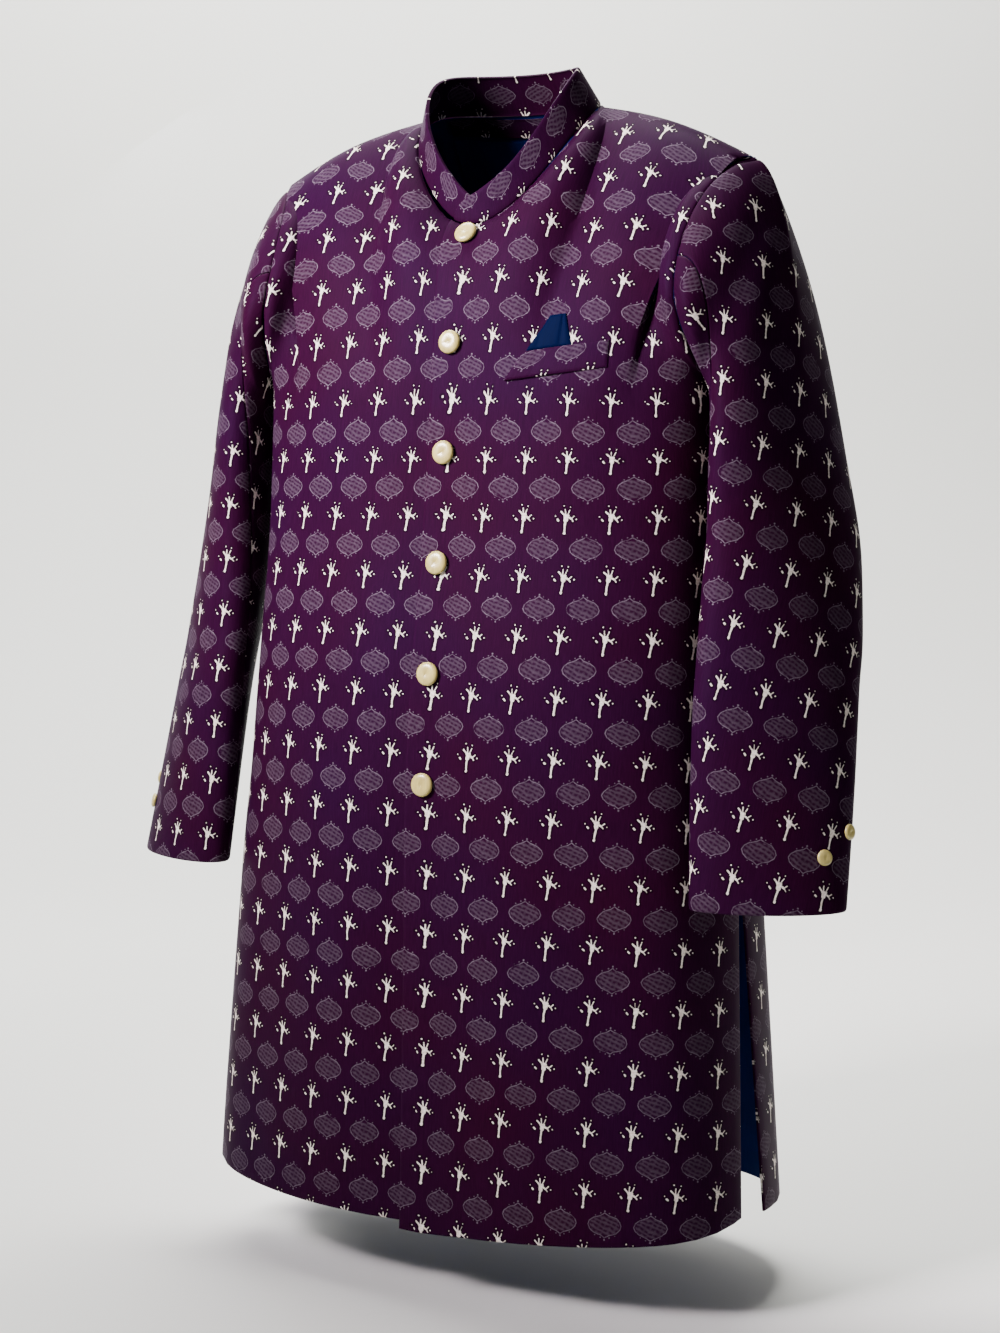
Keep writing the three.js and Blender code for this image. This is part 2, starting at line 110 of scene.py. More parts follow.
BODY = table(
    "z half front back seam square",
    (-956, 257, 161, 134, -38, 2.9),
    (-800, 246, 155, 130, -32, 2.85),
    (-650, 236, 150, 125, -26, 2.75),
    (-577, 232, 147, 122, -22, 2.6),
    (-480, 225, 137, 120, -18, 2.7),
    (-370, 220, 119, 120, -12, 2.8),
    (-264, 219, 107, 122, -8, 2.9),
)
ARMHOLE = table(
    "at x y z nx ny nz share",
    (0.00, 231, 8, -60, 0.36, 0.00, 0.93, 0.46),
    (0.10, 218, -18, -68, 0.32, -0.42, 0.85, 0.49),
    (0.20, 205, -46, -92, 0.26, -0.72, 0.64, 0.52),
    (0.30, 198, -73, -133, 0.20, -0.93, 0.30, 0.57),
    (0.38, 199, -86, -180, 0.36, -0.92, 0.12, 0.66),
    (0.44, 209, -62, -226, 0.80, -0.60, 0.00, 0.83),
    (0.50, 221, -8, -250, 1.00, 0.00, 0.00, 1.00),
    (0.56, 213, 50, -228, 0.80, 0.60, 0.00, 0.83),
    (0.63, 206, 84, -180, 0.36, 0.92, 0.12, 0.66),
    (0.72, 205, 82, -130, 0.20, 0.93, 0.30, 0.57),
    (0.82, 210, 60, -91, 0.26, 0.72, 0.64, 0.52),
    (0.91, 220, 34, -69, 0.32, 0.42, 0.85, 0.49),
    (1.00, 231, 8, -60, 0.36, 0.00, 0.93, 0.46),
)
ARMHOLE_MIDDLE = (210, -5, -150)
NECK_SHARE = 0.22
NECK_NARROWING = 0.365
EDGE_PULL = 0.68
EDGE_TURNING = 0.9
TURNING_SPAN = 1.3
# a slope is measured over this many millimetres, or this share of a grid step of an edge
SLOPE_STEP = 4
EDGE_STEP = 0.04
GUESS = {"width": 90, "up": 1.1, "step": 0.01, "rounds": 12}  # to find a spot on the front

SLEEVE = table(
    "drop x y long short turn",
    (300, 260, -13, 75, 32, 70),
    (388, 270, -23, 75, 35, 58),
    (520, 278, -56, 70, 31, 42),
    (666, 286, -88, 63, 27, 26),
)
SLEEVE_TOP = 300
CUFF = 666
SLEEVE_HEAD_PULL = 0.38
SLEEVE_UNDER_LEAN = 72
SLEEVE_HEAD_FALL = 0.36
SLEEVE_SEAMS = (4 / 22, 17 / 22)
SLEEVE_ROUND = 400  # roughly the length of cloth round a sleeve

WELT = {"inner": 54, "outer": 143, "z": -242, "height": 22, "rise": 10, "slant": 16, "stand": 0.8}
# the square's crease has a place, a lean, a width and a depth
SQUARE = {
    "inner": 71, "outer": 111, "height": 27, "inner_slant": 18, "outer_slant": 8, "wall": 1.2,
    "crease": (0.74, 0.1, 0.07, 0.55), "swell": 0.5, "sink": 0.3,
}
# how far round the back the facing reaches, and where it and the lining start up the back
FACING_REACH = 0.875
FACING_FOOT = 1.875
LINING_FOOT = 1.5

FRONT_BUTTONS = 6
BUTTON_TOP_Z = -117
BUTTON_PITCH = 92
SHANK_DRAW = 0.9  # how deep the cloth is drawn in round a front button
SHANK_REACH = 12
SHANK_SHARE = 0.26
SHANK_SINK = 0.1
SHANK_RISE = 0.02
SHANK_SIDES = 16
FRONT_BUTTON = {"radius": 10.0, "rim": 2.6, "dome": 1.8}
CUFF_BUTTON = {"radius": 6.5, "rim": 2.0, "dome": 1.2}
CUFF_BUTTONS = (("upper", 0.685, 604), ("lower", 0.605, 622))
BUTTON_SIDES = 56
BUTTON_SPIN = 17
BUTTON_SHARP = 40
DENT = {"depth": 0.28, "length": 0.3, "width": 0.07}
# A button's outline from its foot to its middle, as shares of its radius and its height
BUTTON_PROFILE = (
    (0.84, 0.0), (0.93, 0.02), (0.985, 0.16), (1.0, 0.34), (0.985, 0.52), (0.93, 0.70), (0.84, 0.84),
    (0.72, 0.94), (0.58, 0.99), (0.44, 1.0), (0.30, 0.985), (0.20, 0.96), (0.12, 0.93), (0.05, 0.91),
)

FRONT = {"side": -1, "hem_z": HEM_Z, "rise": FRONT_HEM_RISE, "hem_power": HEM_POWER, "tucked": False}
LEFT_FRONT = {**FRONT, "hem_z": HEM_Z - LEFT_HEM_DROP, "hem_power": LEFT_HEM_POWER, "past": LEFT_PAST_CENTRE}
RIGHT_FRONT = {**FRONT, "past": RIGHT_PAST_CENTRE, "tucked": True}
BACK = {**FRONT, "side": 1, "rise": BACK_HEM_RISE, "past": LEFT_PAST_CENTRE}


# Curves and small tools for arrays of points


def hermite(p0, p1, m0, m1, t):
    s = t * t * (3 - 2 * t)
    return p0 * (1 - s) + p1 * s + m0 * t * (1 - t) ** 2 - m1 * t * t * (1 - t)


def along_curve(keys, values, at):
    """Smooth values at places between keys; a value may itself be an array."""
    at = np.asarray(at, float)
    last = len(keys) - 1
    low = np.clip(np.searchsorted(keys, at) - 1, 0, last - 1)
    before = np.maximum(np.arange(last + 1) - 1, 0)
    after = np.minimum(np.arange(last + 1) + 1, last)
    wide = values.shape[1:]
    step = (keys[after] - keys[before]).reshape((-1,) + (1,) * len(wide))
    slope = (values[after] - values[before]) / step
    span = (keys[low + 1] - keys[low]).reshape(at.shape + (1,) * len(wide))
    start = keys[low].reshape(span.shape)
    t = np.clip((at.reshape(span.shape) - start) / span, 0, 1)
    return hermite(values[low], values[low + 1], slope[low] * span, slope[low + 1] * span, t)


def together(*values):
    """Numbers or arrays as arrays of one shape."""
    return np.broadcast_arrays(*(np.asarray(value, float) for value in values))


def ease(t):
    t = np.clip(t, 0, 1)
    return t * t * (3 - 2 * t)


def points(x, y, z):
    return np.stack(np.broadcast_arrays(x, y, z), -1).astype(float)


def length(v):
    return np.linalg.norm(v, axis=-1, keepdims=True)


def unit(v):
    return v / np.maximum(length(v), 1e-9)


def mirrored(sheet):
    def other_side(u, v):
        place, facing = sheet(u, v)
        flip = np.array([-1, 1, 1])
        return place * flip, facing * flip

    return other_side


def facing_of(point_at, u, v, step_u, step_v, low, high):
    du = point_at(u + step_u, v) - point_at(u - step_u, v)
    dv = point_at(u, np.minimum(v + step_v, high)) - point_at(u, np.maximum(v - step_v, low))
    return unit(np.cross(du, dv))


# Form of the body


def neck_point(angle):
    a = np.radians(angle)
    fall = ((1 + np.cos(a)) / 2) ** NECK_DIP_POWER
    return points(NECK_HALF * np.sin(a), NECK_MIDDLE_Y - NECK_FRONT_TO_BACK * np.cos(a), -NECK_DIP * fall)


def neck_facing(angle):
    a = np.radians(angle)
    side, front_to_back, up = NECK_SLOPE
    return unit(points(side * np.sin(a), -front_to_back * np.cos(a), up))


def armhole_spot(at):
    value = {name: along_curve(ARMHOLE["at"], ARMHOLE[name], at) for name in ARMHOLE}
    place = points(value["x"], value["y"], value["z"])
    return place, unit(points(value["nx"], value["ny"], value["nz"])), value["share"]


def edge_spot(side, along):
    """Upper edge of half a panel: 0 to 1 neckline, to 2 shoulder seam, to 3 armhole."""
    end = 0 if side < 0 else 180
    angle = end + (SHOULDER_ANGLE - end) * np.clip(along, 0, 1)
    t = np.clip(along - 1, 0, 1)[..., None]
    tip, tip_facing, tip_share = armhole_spot(np.zeros(1))
    shoulder = neck_point(SHOULDER_ANGLE) * (1 - t) + tip[0] * t
    shoulder[..., 2] += SHOULDER_SWELL * np.sin(np.pi * t[..., 0])
    shoulder_facing = unit(neck_facing(SHOULDER_ANGLE) * (1 - t) + tip_facing[0] * t)
    shoulder_share = NECK_SHARE + (tip_share[0] - NECK_SHARE) * t[..., 0]
    half = np.clip(along - 2, 0, 1) / 2
    hole, hole_facing, hole_share = armhole_spot(half if side < 0 else 1 - half)
    neck, seam = along <= 1, along <= 2
    place = np.where(neck[..., None], neck_point(angle), np.where(seam[..., None], shoulder, hole))
    facing = np.where(
        neck[..., None], neck_facing(angle), np.where(seam[..., None], shoulder_facing, hole_facing)
    )
    share = np.where(neck, NECK_SHARE * along, np.where(seam, shoulder_share, hole_share))
    return place, facing, share


def body_point(side, share, z):
    row = {name: along_curve(BODY["z"], BODY[name], z) for name in BODY}
    depth = row["front"] + row["seam"] if side < 0 else row["back"] - row["seam"]
    opening = np.maximum(0, (SLIT_TOP_Z - z) / (SLIT_TOP_Z - HEM_Z))
    reach = 1 - (SEAM_GAP / 2 + SLIT_GAPE * opening) / (depth * np.pi * 0.5)
    a = share * reach * np.pi * 0.5
    square = row["square"]
    swell = (np.abs(np.sin(a)) ** square + np.abs(np.cos(a)) ** square) ** (-1 / square)
    x = row["half"] * np.sin(a) * swell
    return points(x, row["seam"] + side * depth * np.abs(np.cos(a)) * swell, z)


def half_panel(panel, side, across, up):
    across = np.clip(across, 0, 3)
    place, facing, share = edge_spot(side, across)
    hem = panel["hem_z"] + panel["rise"] * share ** panel["hem_power"]
    low = body_point(side, share, hem + (CHEST_Z - hem) * np.minimum(up, 1))
    start = body_point(side, share, np.full_like(share, CHEST_Z))
    rise = (start - body_point(side, share, np.full_like(share, CHEST_Z - SLOPE_STEP))) / SLOPE_STEP
    before = edge_spot(side, np.maximum(across - EDGE_STEP, 0))[0]
    after = edge_spot(side, np.minimum(across + EDGE_STEP, 3))[0]
    leave = unit(np.cross(facing, after - before)) * -side
    end = place - leave * SEAM_GAP / 2
    chord = end - start
    reach = length(chord)
    flow = unit(chord - facing * np.sum(chord * facing, -1, keepdims=True))
    turning = (EDGE_TURNING * ease((across - 1) / TURNING_SPAN))[..., None]
    arrive = unit(flow * (1 - turning) + leave * turning) * reach * EDGE_PULL
    high = hermite(start, end, rise * reach, arrive, np.maximum(up - 1, 0)[..., None])
    return np.where((up <= 1)[..., None], low, high)


def panel_point(panel, across, up):
    """across is 0 to 3 from the centre line to the side, up is 0 to 1 to the chest, then to 2."""
    across, up = together(across, up)
    side = panel["side"]
    bend = math.asin(panel["past"] / OVERLAP_HALF_WIDTH) / (np.pi / 2) / NECK_SHARE
    narrowing = np.where(up > 1, 1 - NECK_NARROWING * (up - 1), 1)
    past, over = across < 0, across > 3
    main = np.where(past, -across * bend * narrowing, np.where(over, 6 - across, across))
    place = half_panel(panel, side, main, up)
    if over.any():
        place = np.where(over[..., None], half_panel(panel, -side, main, up), place)
    place[..., 0] *= np.where(past, -1, 1)
    return place


def panel_sheet(panel):
    def sheet(across, up):
        across, up = together(across, up)
        side = panel["side"]
        place = panel_point(panel, across, up)
        facing = facing_of(lambda u, v: panel_point(panel, u, v), across, up, 0.02, 0.02, 0, 2) * -side
        facing = np.where((up == 2)[..., None], edge_spot(side, np.abs(across))[1], facing)
        if panel["tucked"]:
            place = place - facing * (TUCK * ease((TUCK_FADE - place[..., :1]) / TUCK_FADE))
        return place, facing

    return sheet


left_front = panel_sheet(LEFT_FRONT)
right_front = mirrored(panel_sheet(RIGHT_FRONT))


def back(across, up):
    across, up = together(across, up)
    place, facing = panel_sheet(BACK)(np.abs(across), up)
    flip = np.where(across < 0, -1, 1)
    place[..., 0] *= flip
    facing[..., 0] *= flip
    return place, facing


def front_spot(x, z):
    """Place and facing of the left front's outer side at x and z."""
    x, z = together(x, z)
    across, up, step = x / GUESS["width"], np.full(x.shape, GUESS["up"]), GUESS["step"]
    for _ in range(GUESS["rounds"]):
        here = panel_point(LEFT_FRONT, across, up)
        du = (panel_point(LEFT_FRONT, across + step, up) - here) / step
        dv = (panel_point(LEFT_FRONT, across, up + step) - here) / step
        scale = du[..., 0] * dv[..., 2] - du[..., 2] * dv[..., 0]
        dx, dz = x - here[..., 0], z - here[..., 2]
        across = across + (dx * dv[..., 2] - dz * dv[..., 0]) / scale
        up = up + (dz * du[..., 0] - dx * du[..., 2]) / scale
    return left_front(across, up)


# Form of the sleeves and the collar


def ring_point(round_at, drop):
    row = {name: along_curve(SLEEVE["drop"], SLEEVE[name], drop) for name in SLEEVE}
    turn = np.radians(row["turn"])
    a = np.radians(270 - 360 * round_at)
    run = row["long"] * np.cos(a)
    out = row["short"] * np.sin(a)
    x = row["x"] + run * np.cos(turn) + out * np.sin(turn)
    return points(x, row["y"] + run * np.sin(turn) - out * np.cos(turn), -drop)


def sleeve_point(round_at, down):
    round_at, down = together(round_at, down)
    turn = round_at % 1
    seam = armhole_spot((1.5 - turn) % 1)[0]
    start = seam + np.array([SEAM_GAP, 0, 0])
    top = np.full(turn.shape, float(SLEEVE_TOP))
    end = ring_point(round_at, top)
    away = unit((seam - np.array(ARMHOLE_MIDDLE)) * np.array([0, 1, 1]))
    topness = (1 - np.cos(2 * np.pi * turn)) / 2
    lean = (np.radians(SLEEVE_UNDER_LEAN) * (1 - topness) ** 4)[..., None]
    leave = np.array([1.0, 0, 0]) * np.cos(lean) + away * np.sin(lean)
    leave[..., 2] -= SLEEVE_HEAD_FALL * topness**2
    leave = unit(leave)
    reach = length(end - start)
    fall = (ring_point(round_at, top + SLOPE_STEP) - end) / SLOPE_STEP
    pull = reach * (1 + (SLEEVE_HEAD_PULL - 1) * topness[..., None])
    head = hermite(start, end, leave * pull, fall * reach, np.minimum(down, 1)[..., None])
    arm = ring_point(round_at, SLEEVE_TOP + (CUFF - SLEEVE_TOP) * np.maximum(down - 1, 0))
    return np.where((down >= 1)[..., None], arm, head)


def left_sleeve(round_at, down):
    return sleeve_point(round_at, down), -facing_of(sleeve_point, round_at, down, 0.01, 0.02, 0, 2)


def collar_point(angle, height):
    angle, height = together(angle, height)
    a = np.radians(angle)
    inward = points(-np.sin(a), np.cos(a), 0)
    from_end = np.minimum(angle - COLLAR_FROM, COLLAR_TO - angle) * np.pi / 180 * NECK_HALF
    rounding = 1 - np.clip(from_end / COLLAR_END_ROUND, 0, 1)
    tall = COLLAR_END_HEIGHT + (COLLAR_HEIGHT - COLLAR_END_HEIGHT) * np.sqrt(1 - rounding**2)
    up = SEAM_GAP + tall * height
    lean = math.radians(COLLAR_LEAN)
    behind = TUCK * ease((angle - COLLAR_TUCK[0]) / COLLAR_TUCK[1])
    place = neck_point(angle) + inward * (up * math.sin(lean) + behind)[..., None]
    place[..., 1] -= COLLAR_FORWARD * up / COLLAR_HEIGHT
    place[..., 2] += up * math.cos(lean)
    return place


def collar(angle, height):
    return collar_point(angle, height), facing_of(collar_point, angle, height, 1, 0.05, 0, 1)


# Soft folds, in millimetres. Each is a line from one place to another with a width and
# a height, negative for a valley. Fronts and back read x and z, sleeves round and drop.
FRONT_FOLDS = (
    ((150, -165), (118, -330), 26, 1.2),
    ((188, -200), (150, -290), 16, -0.7),
    ((120, -95), (175, -150), 20, 0.9),
    ((70, -560), (95, -940), 34, 1.4),
    ((150, -600), (178, -940), 30, -1.5),
    ((205, -620), (222, -930), 20, 1.2),
    ((28, -640), (34, -950), 30, -1.0),
    ((95, -470), (190, -560), 30, 0.9),
)
BACK_FOLDS = (
    ((0, -380), (0, -945), 46, -1.6),
    ((85, -480), (104, -945), 40, 1.6),
    ((170, -560), (192, -945), 34, -1.5),
    ((150, -170), (120, -330), 26, 1.2),
    ((30, -60), (120, -110), 26, 0.8),
)
SLEEVE_FOLDS = (
    ((0.42, 105), (0.27, 190), 16, -1.1),
    ((0.46, 122), (0.34, 215), 15, 0.8),
    ((0.30, 455), (0.52, 492), 22, -1.2),
    ((0.26, 492), (0.50, 540), 24, 1.2),
    ((0.62, 430), (0.74, 470), 20, 1.0),
    ((0.10, 300), (0.22, 380), 26, -1.2),
    ((0.90, 420), (1.02, 480), 24, -1.4),
)
ROUND_TO_MM = 360
SLEEVE_FOLD_LINES = tuple(
    ((a[0] * ROUND_TO_MM, a[1]), (b[0] * ROUND_TO_MM, b[1]), width, height)
    for a, b, width, height in SLEEVE_FOLDS
)
FOLD_PAST = 0.25  # share of its length by which a fold runs past its ends as it fades
FOLD_FADE = 0.45


def fold_height(x, y, folds):
    """Height over the plain form of the soft folds at each place."""
    total = np.zeros(x.shape)
    for (x0, y0), (x1, y1), width, height in folds:
        run = np.array([x1 - x0, y1 - y0], float)
        t = ((x - x0) * run[0] + (y - y0) * run[1]) / (run @ run)
        off = ((x - x0) * run[1] - (y - y0) * run[0]) / np.sqrt(run @ run)
        ends = ease((t + FOLD_PAST) / FOLD_FADE) * ease((1 + FOLD_PAST - t) / FOLD_FADE)
        total += height * ends * np.exp(-((off / width) ** 2))
    return total


# Flat patterns

LEAST_WEIGHT = 0.05  # of an edge of a thin triangle
PIN_HOLD = 100
STEADYING = 1e-6  # keeps the sum solvable


def grid_triangles(rows, cols):
    at = np.arange(rows * cols).reshape(rows, cols)
    a, b, c, d = at[:-1, :-1], at[1:, :-1], at[1:, 1:], at[:-1, 1:]
    fours = ((a, b, c), (a, c, d), (a, b, d), (b, c, d))
    return np.concatenate([np.stack(four, -1).reshape(-1, 3) for four in fours])


def lay_flat(grid, start, pins, rounds=60):
    """Lays a grid of cloth flat with the least stretch. start is a first guess, and pins
    hold (grid places, axis, values)."""
    rows, cols = grid.shape[:2]
    tris = grid_triangles(rows, cols)
    corners = grid.reshape(-1, 3)[tris]
    flat = start.reshape(-1, 2).copy()
    first, second = corners[:, 1] - corners[:, 0], corners[:, 2] - corners[:, 0]
    base = np.linalg.norm(first, axis=1)
    guess = flat[tris]
    g1, g2 = guess[:, 1] - guess[:, 0], guess[:, 2] - guess[:, 0]
    hand = np.sign(g1[:, 0] * g2[:, 1] - g1[:, 1] * g2[:, 0])
    local = np.zeros((len(tris), 3, 2))
    local[:, 1, 0] = base
    local[:, 2, 0] = np.sum(first * second, 1) / base
    local[:, 2, 1] = np.linalg.norm(np.cross(first, second), axis=1) / base * hand
    count = rows * cols
    matrix = np.zeros((count, count))
    edges = []
    for k in range(3):
        i, j, o = k, (k + 1) % 3, (k + 2) % 3
        p, q = local[:, i] - local[:, o], local[:, j] - local[:, o]
        weight = np.sum(p * q, 1) / np.abs(p[:, 0] * q[:, 1] - p[:, 1] * q[:, 0])
        weight = np.maximum(weight, LEAST_WEIGHT)
        edges.append((i, j, weight))
        vi, vj = tris[:, i], tris[:, j]
        for row, col, sign in ((vi, vi, 1), (vj, vj, 1), (vi, vj, -1), (vj, vi, -1)):
            np.add.at(matrix, (row, col), sign * weight)
    held, wanted = np.zeros((count, 2)), np.zeros((count, 2))
    for places, axis, values in pins:
        held[places, axis] = PIN_HOLD
        wanted[places, axis] = values
    inverse = [np.linalg.inv(matrix + np.diag(held[:, axis] + STEADYING)) for axis in (0, 1)]
    for _ in range(rounds):
        now = flat[tris]
        spin = np.zeros((len(tris), 2))
        for i, j, weight in edges:
            u, x = now[:, i] - now[:, j], local[:, i] - local[:, j]
            spin[:, 0] += weight * (u[:, 0] * x[:, 0] + u[:, 1] * x[:, 1])
            spin[:, 1] += weight * (u[:, 1] * x[:, 0] - u[:, 0] * x[:, 1])
        cos, sin = (spin / np.linalg.norm(spin, axis=1, keepdims=True)).T
        right = held * wanted
        for i, j, weight in edges:
            x = local[:, i] - local[:, j]
            turned = np.stack([cos * x[:, 0] - sin * x[:, 1], sin * x[:, 0] + cos * x[:, 1]], 1)
            turned *= weight[:, None]
            np.add.at(right, tris[:, i], turned)
            np.add.at(right, tris[:, j], -turned)
        flat = np.stack([inverse[axis] @ right[:, axis] for axis in (0, 1)], 1)
    return flat.reshape(rows, cols, 2)


def run_lengths(grid, axis):
    """Length of cloth along a grid's lines from their first point."""
    step = np.linalg.norm(np.diff(grid, axis=axis), axis=-1)
    start = np.zeros_like(np.take(step, [0], axis))
    return np.concatenate([start, np.cumsum(step, axis)], axis)


def flat_pattern(sheet, us, vs, grain, hand=1):
    """Cloth coordinates in millimetres on a coarse grid, with the grain line upright.
    grain is the row of us that lies along it; vs run up the cloth."""
    grid = sheet(us[:, None], vs[None, :])[0]
    across = run_lengths(grid, 0)
    across = (across - across[grain]) * hand
    up = run_lengths(grid, 1)
    level = int(np.argmin(np.abs(vs - 1)))
    up = up - up[:, level : level + 1]
    guess = np.stack([across, up], -1)
    spots = grain * len(vs) + np.arange(len(vs))
    pins = [(spots, 0, 0.0), (spots, 1, up[grain])]
    return lay_flat(grid, guess, pins)


def spread(flat, coarse_u, coarse_v, us, vs):
    """Values of a coarse grid at the places of a fine one."""
    rows = along_curve(coarse_u, flat, us)
    return np.swapaxes(along_curve(coarse_v, np.swapaxes(rows, 0, 1), vs), 0, 1)


# Meshes

EDGE_TURN = 2.4  # width over which the cloth turns in at a seam or an edge
EDGE_DIP = 0.75
EDGE_SHARES = np.array([0.3, 0.65, 1.0])  # where the closer steps at an edge lie
EDGE_CLEAR = 1.6
INNER_SINK = 0.3  # share of the wall by which the inner side may follow a valley
SHARP_ANGLE = 50


def fine_steps(low, high, count, edge=0.0):
    """Even steps, with closer ones at both ends where the cloth turns in at a seam."""
    inner = np.linspace(low, high, count + 1)
    if not edge:
        return inner
    near, clear = edge * EDGE_SHARES, edge * EDGE_CLEAR
    middle = inner[(inner > low + clear) & (inner < high - clear)]
    return np.concatenate([[low], low + near, middle, high - near[::-1], [high]])


def edge_height(grid):
    """How far the cloth turns in near the borders of a grid."""
    across, up = run_lengths(grid, 0), run_lengths(grid, 1)
    near = np.minimum(across, across[-1:] - across)
    near = np.minimum(near, np.minimum(up, up[:, -1:] - up))
    return -EDGE_DIP * (1 - np.clip(near / EDGE_TURN, 0, 1)) ** 2


def cloth_shell(name, sheet, us, vs, cloth, materials, wall=WALL, lift=0.0, height=None):
    """A thin wall of cloth with its flat-pattern coordinates. cloth gives those, in
    millimetres; materials are for the outer and the inner side."""
    place, facing = sheet(us[:, None], vs[None, :])
    raised = edge_height(place)
    if height is not None:
        raised = raised + height(us[:, None], vs[None, :], place)
    outer = place + facing * (lift + raised)[..., None]
    sunk = np.maximum(raised, -wall * INNER_SINK)
    inner = place + facing * (lift - wall + sunk)[..., None]
    rows, cols = place.shape[:2]
    at = np.arange(rows * cols).reshape(rows, cols)
    a, b, c, d = (s.ravel() for s in (at[:-1, :-1], at[1:, :-1], at[1:, 1:], at[:-1, 1:]))
    back_at = rows * cols
    ring = np.concatenate([at[:, 0], at[-1, 1:], at[-2::-1, -1], at[0, -2:0:-1]])
    following = np.roll(ring, -1)
    rim = np.stack([following, ring, ring + back_at, following + back_at], 1)
    faces = np.concatenate([np.stack([a, b, c, d], 1), np.stack([a, d, c, b], 1) + back_at, rim])
    i, j = rows // 2, cols // 2
    du, dv = outer[i + 1, j] - outer[i, j], outer[i, j + 1] - outer[i, j]
    if np.dot(np.cross(du, dv), outer[i, j] - inner[i, j]) < 0:
        faces = faces[:, ::-1]
    spots = np.concatenate([outer.reshape(-1, 3), inner.reshape(-1, 3)]) * MM
    slots = np.zeros(len(faces), int)
    slots[len(a) : 2 * len(a)] = min(1, len(materials) - 1)
    mesh = bpy.data.meshes.new(name)
    mesh.from_pydata(spots.tolist(), [], faces.tolist())
    flat = np.tile(cloth.reshape(-1, 2), (2, 1)) * MM
    layer = mesh.uv_layers.new(name="cloth")
    layer.data.foreach_set("uv", flat[faces.ravel()].ravel())
    mesh.polygons.foreach_set("material_index", slots)
    return finish_piece(name, mesh, materials)


def finish_piece(name, mesh, materials, sharp=SHARP_ANGLE):
    for material in materials:
        mesh.materials.append(material)
    mesh.polygons.foreach_set("use_smooth", [True] * len(mesh.polygons))
    mesh.set_sharp_from_angle(angle=math.radians(sharp))
    mesh.update()
    piece = bpy.data.objects.new(name, mesh)
    bpy.context.scene.collection.objects.link(piece)
    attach(piece, "root")
    return piece


def declare(piece, node, slot, cloth, us, vs, sheet, held="hung"):
    """Hides the solid of model.glb that a cloth piece stands for."""
    grid = sheet(us[:, None], vs[None, :])[0] * MM
    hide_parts(node)


# Materials


def add_node(tree, kind, out=0, **words):
    """Adds one node and gives one of its outputs. Words in small letters are settings.
    The others are inputs, by name or numbered as i0, i1, and a socket is linked."""
    made = tree.nodes.new("ShaderNode" + kind)
    for key, value in words.items():
        numbered = key[0] == "i" and key[1:].isdigit()
        if key.islower() and not numbered:
            setattr(made, key, value)
            continue
        socket = made.inputs[int(key[1:]) if numbered else key.replace("_", " ")]
        if isinstance(value, bpy.types.NodeSocket):
            tree.links.new(value, socket)
        else:
            socket.default_value = value
    return made.outputs[out] if made.outputs else None


def new_material(name):
    """An empty material, and add_node for its own nodes."""
    material = bpy.data.materials.new(name)
    material.use_nodes = True
    material.node_tree.nodes.clear()
    return material, partial(add_node, material.node_tree)


def made_once(make, name, *words):
    return bpy.data.materials.get(name) or make(name, *words)


# Strokes of the woven motifs in millimetres from the motif's middle: ends and radius.
# A sprig has a bent stem with a knobbed foot, a head with prongs, a forked leaf at the
# right and a loose comma at the left.
SPRIG = (
    (-0.3, -11.6, -0.2, -11.2, 1.05),
    (-0.2, -11.2, 0.2, -6.0, 0.72),
    (0.2, -6.0, 1.0, -0.8, 0.82),
    (1.0, -0.8, 1.2, 2.0, 1.8),
    (0.0, 2.8, 2.6, 2.8, 1.1),
    (-0.2, 3.2, -3.2, 6.0, 0.7),
    (0.6, 3.6, 0.4, 8.0, 0.5),
    (2.4, 3.4, 4.2, 7.4, 0.45),
    (2.4, 1.6, 5.4, 0.0, 0.8),
    (5.4, 0.0, 7.9, 2.2, 0.45),
    (5.4, 0.0, 6.9, -2.0, 0.5),
    (-6.4, -0.6, -5.5, -1.5, 0.75),
    (-8.4, 2.0, -8.4, 2.0, 0.5),
    (-0.9, 11.0, -0.9, 11.0, 0.6),
    (4.7, 10.0, 4.7, 10.0, 0.5),
    (9.8, -0.4, 9.8, -0.4, 0.6),
)
# A quarter of a medallion with pointed top and foot
MEDALLION = (
    (0.0, 10.2, 3.1, 8.2, 0.3),
    (3.1, 8.2, 8.9, 6.1, 0.3),
    (8.9, 6.1, 12.5, 3.1, 0.3),
    (12.5, 3.1, 13.7, 0.0, 0.3),
    (0.0, 11.7, 0.0, 11.7, 0.7),
    (3.6, 10.0, 3.6, 10.0, 0.45),
    (8.1, 8.0, 8.1, 8.0, 0.4),
)
MEDALLION_FILL = (12.8, 8.4)
SMOOTH = {"interpolation_type": "SMOOTHSTEP"}
DOT_LENGTH = 0.3  # a shorter stroke is a dot, in millimetres
MEDALLION_SLANT = 24
# Noises that move the figures: scale per millimetre, detail and reach in millimetres
WAVERS = ((0.09, 1.0, 1.8), (0.9, 2.0, 0.6))
SILK_IOR = 1.54
HORN_IOR = 1.56


def stroke_field(add, place, strokes):
    """Socket with the distance from the nearest stroke's edge, in millimetres."""
    field = None
    for x0, y0, x1, y1, radius in strokes:
        run = Vector((x1 - x0, y1 - y0, 0))
        from_start = add("VectorMath", operation="SUBTRACT", i0=place, i1=(x0, y0, 0))
        nearest = (0, 0, 0)
        if run.length > DOT_LENGTH:
            share = add("VectorMath", 1, operation="DOT_PRODUCT", i0=from_start, i1=run / run.length_squared)
            nearest = add("VectorMath", operation="SCALE", i0=run, i3=add("Clamp", i0=share))
        far = add("VectorMath", 1, operation="DISTANCE", i0=from_start, i1=nearest)
        here = add("Math", operation="SUBTRACT", i0=far, i1=radius)
        field = here if field is None else add("Math", operation="MINIMUM", i0=field, i1=here)
    return field


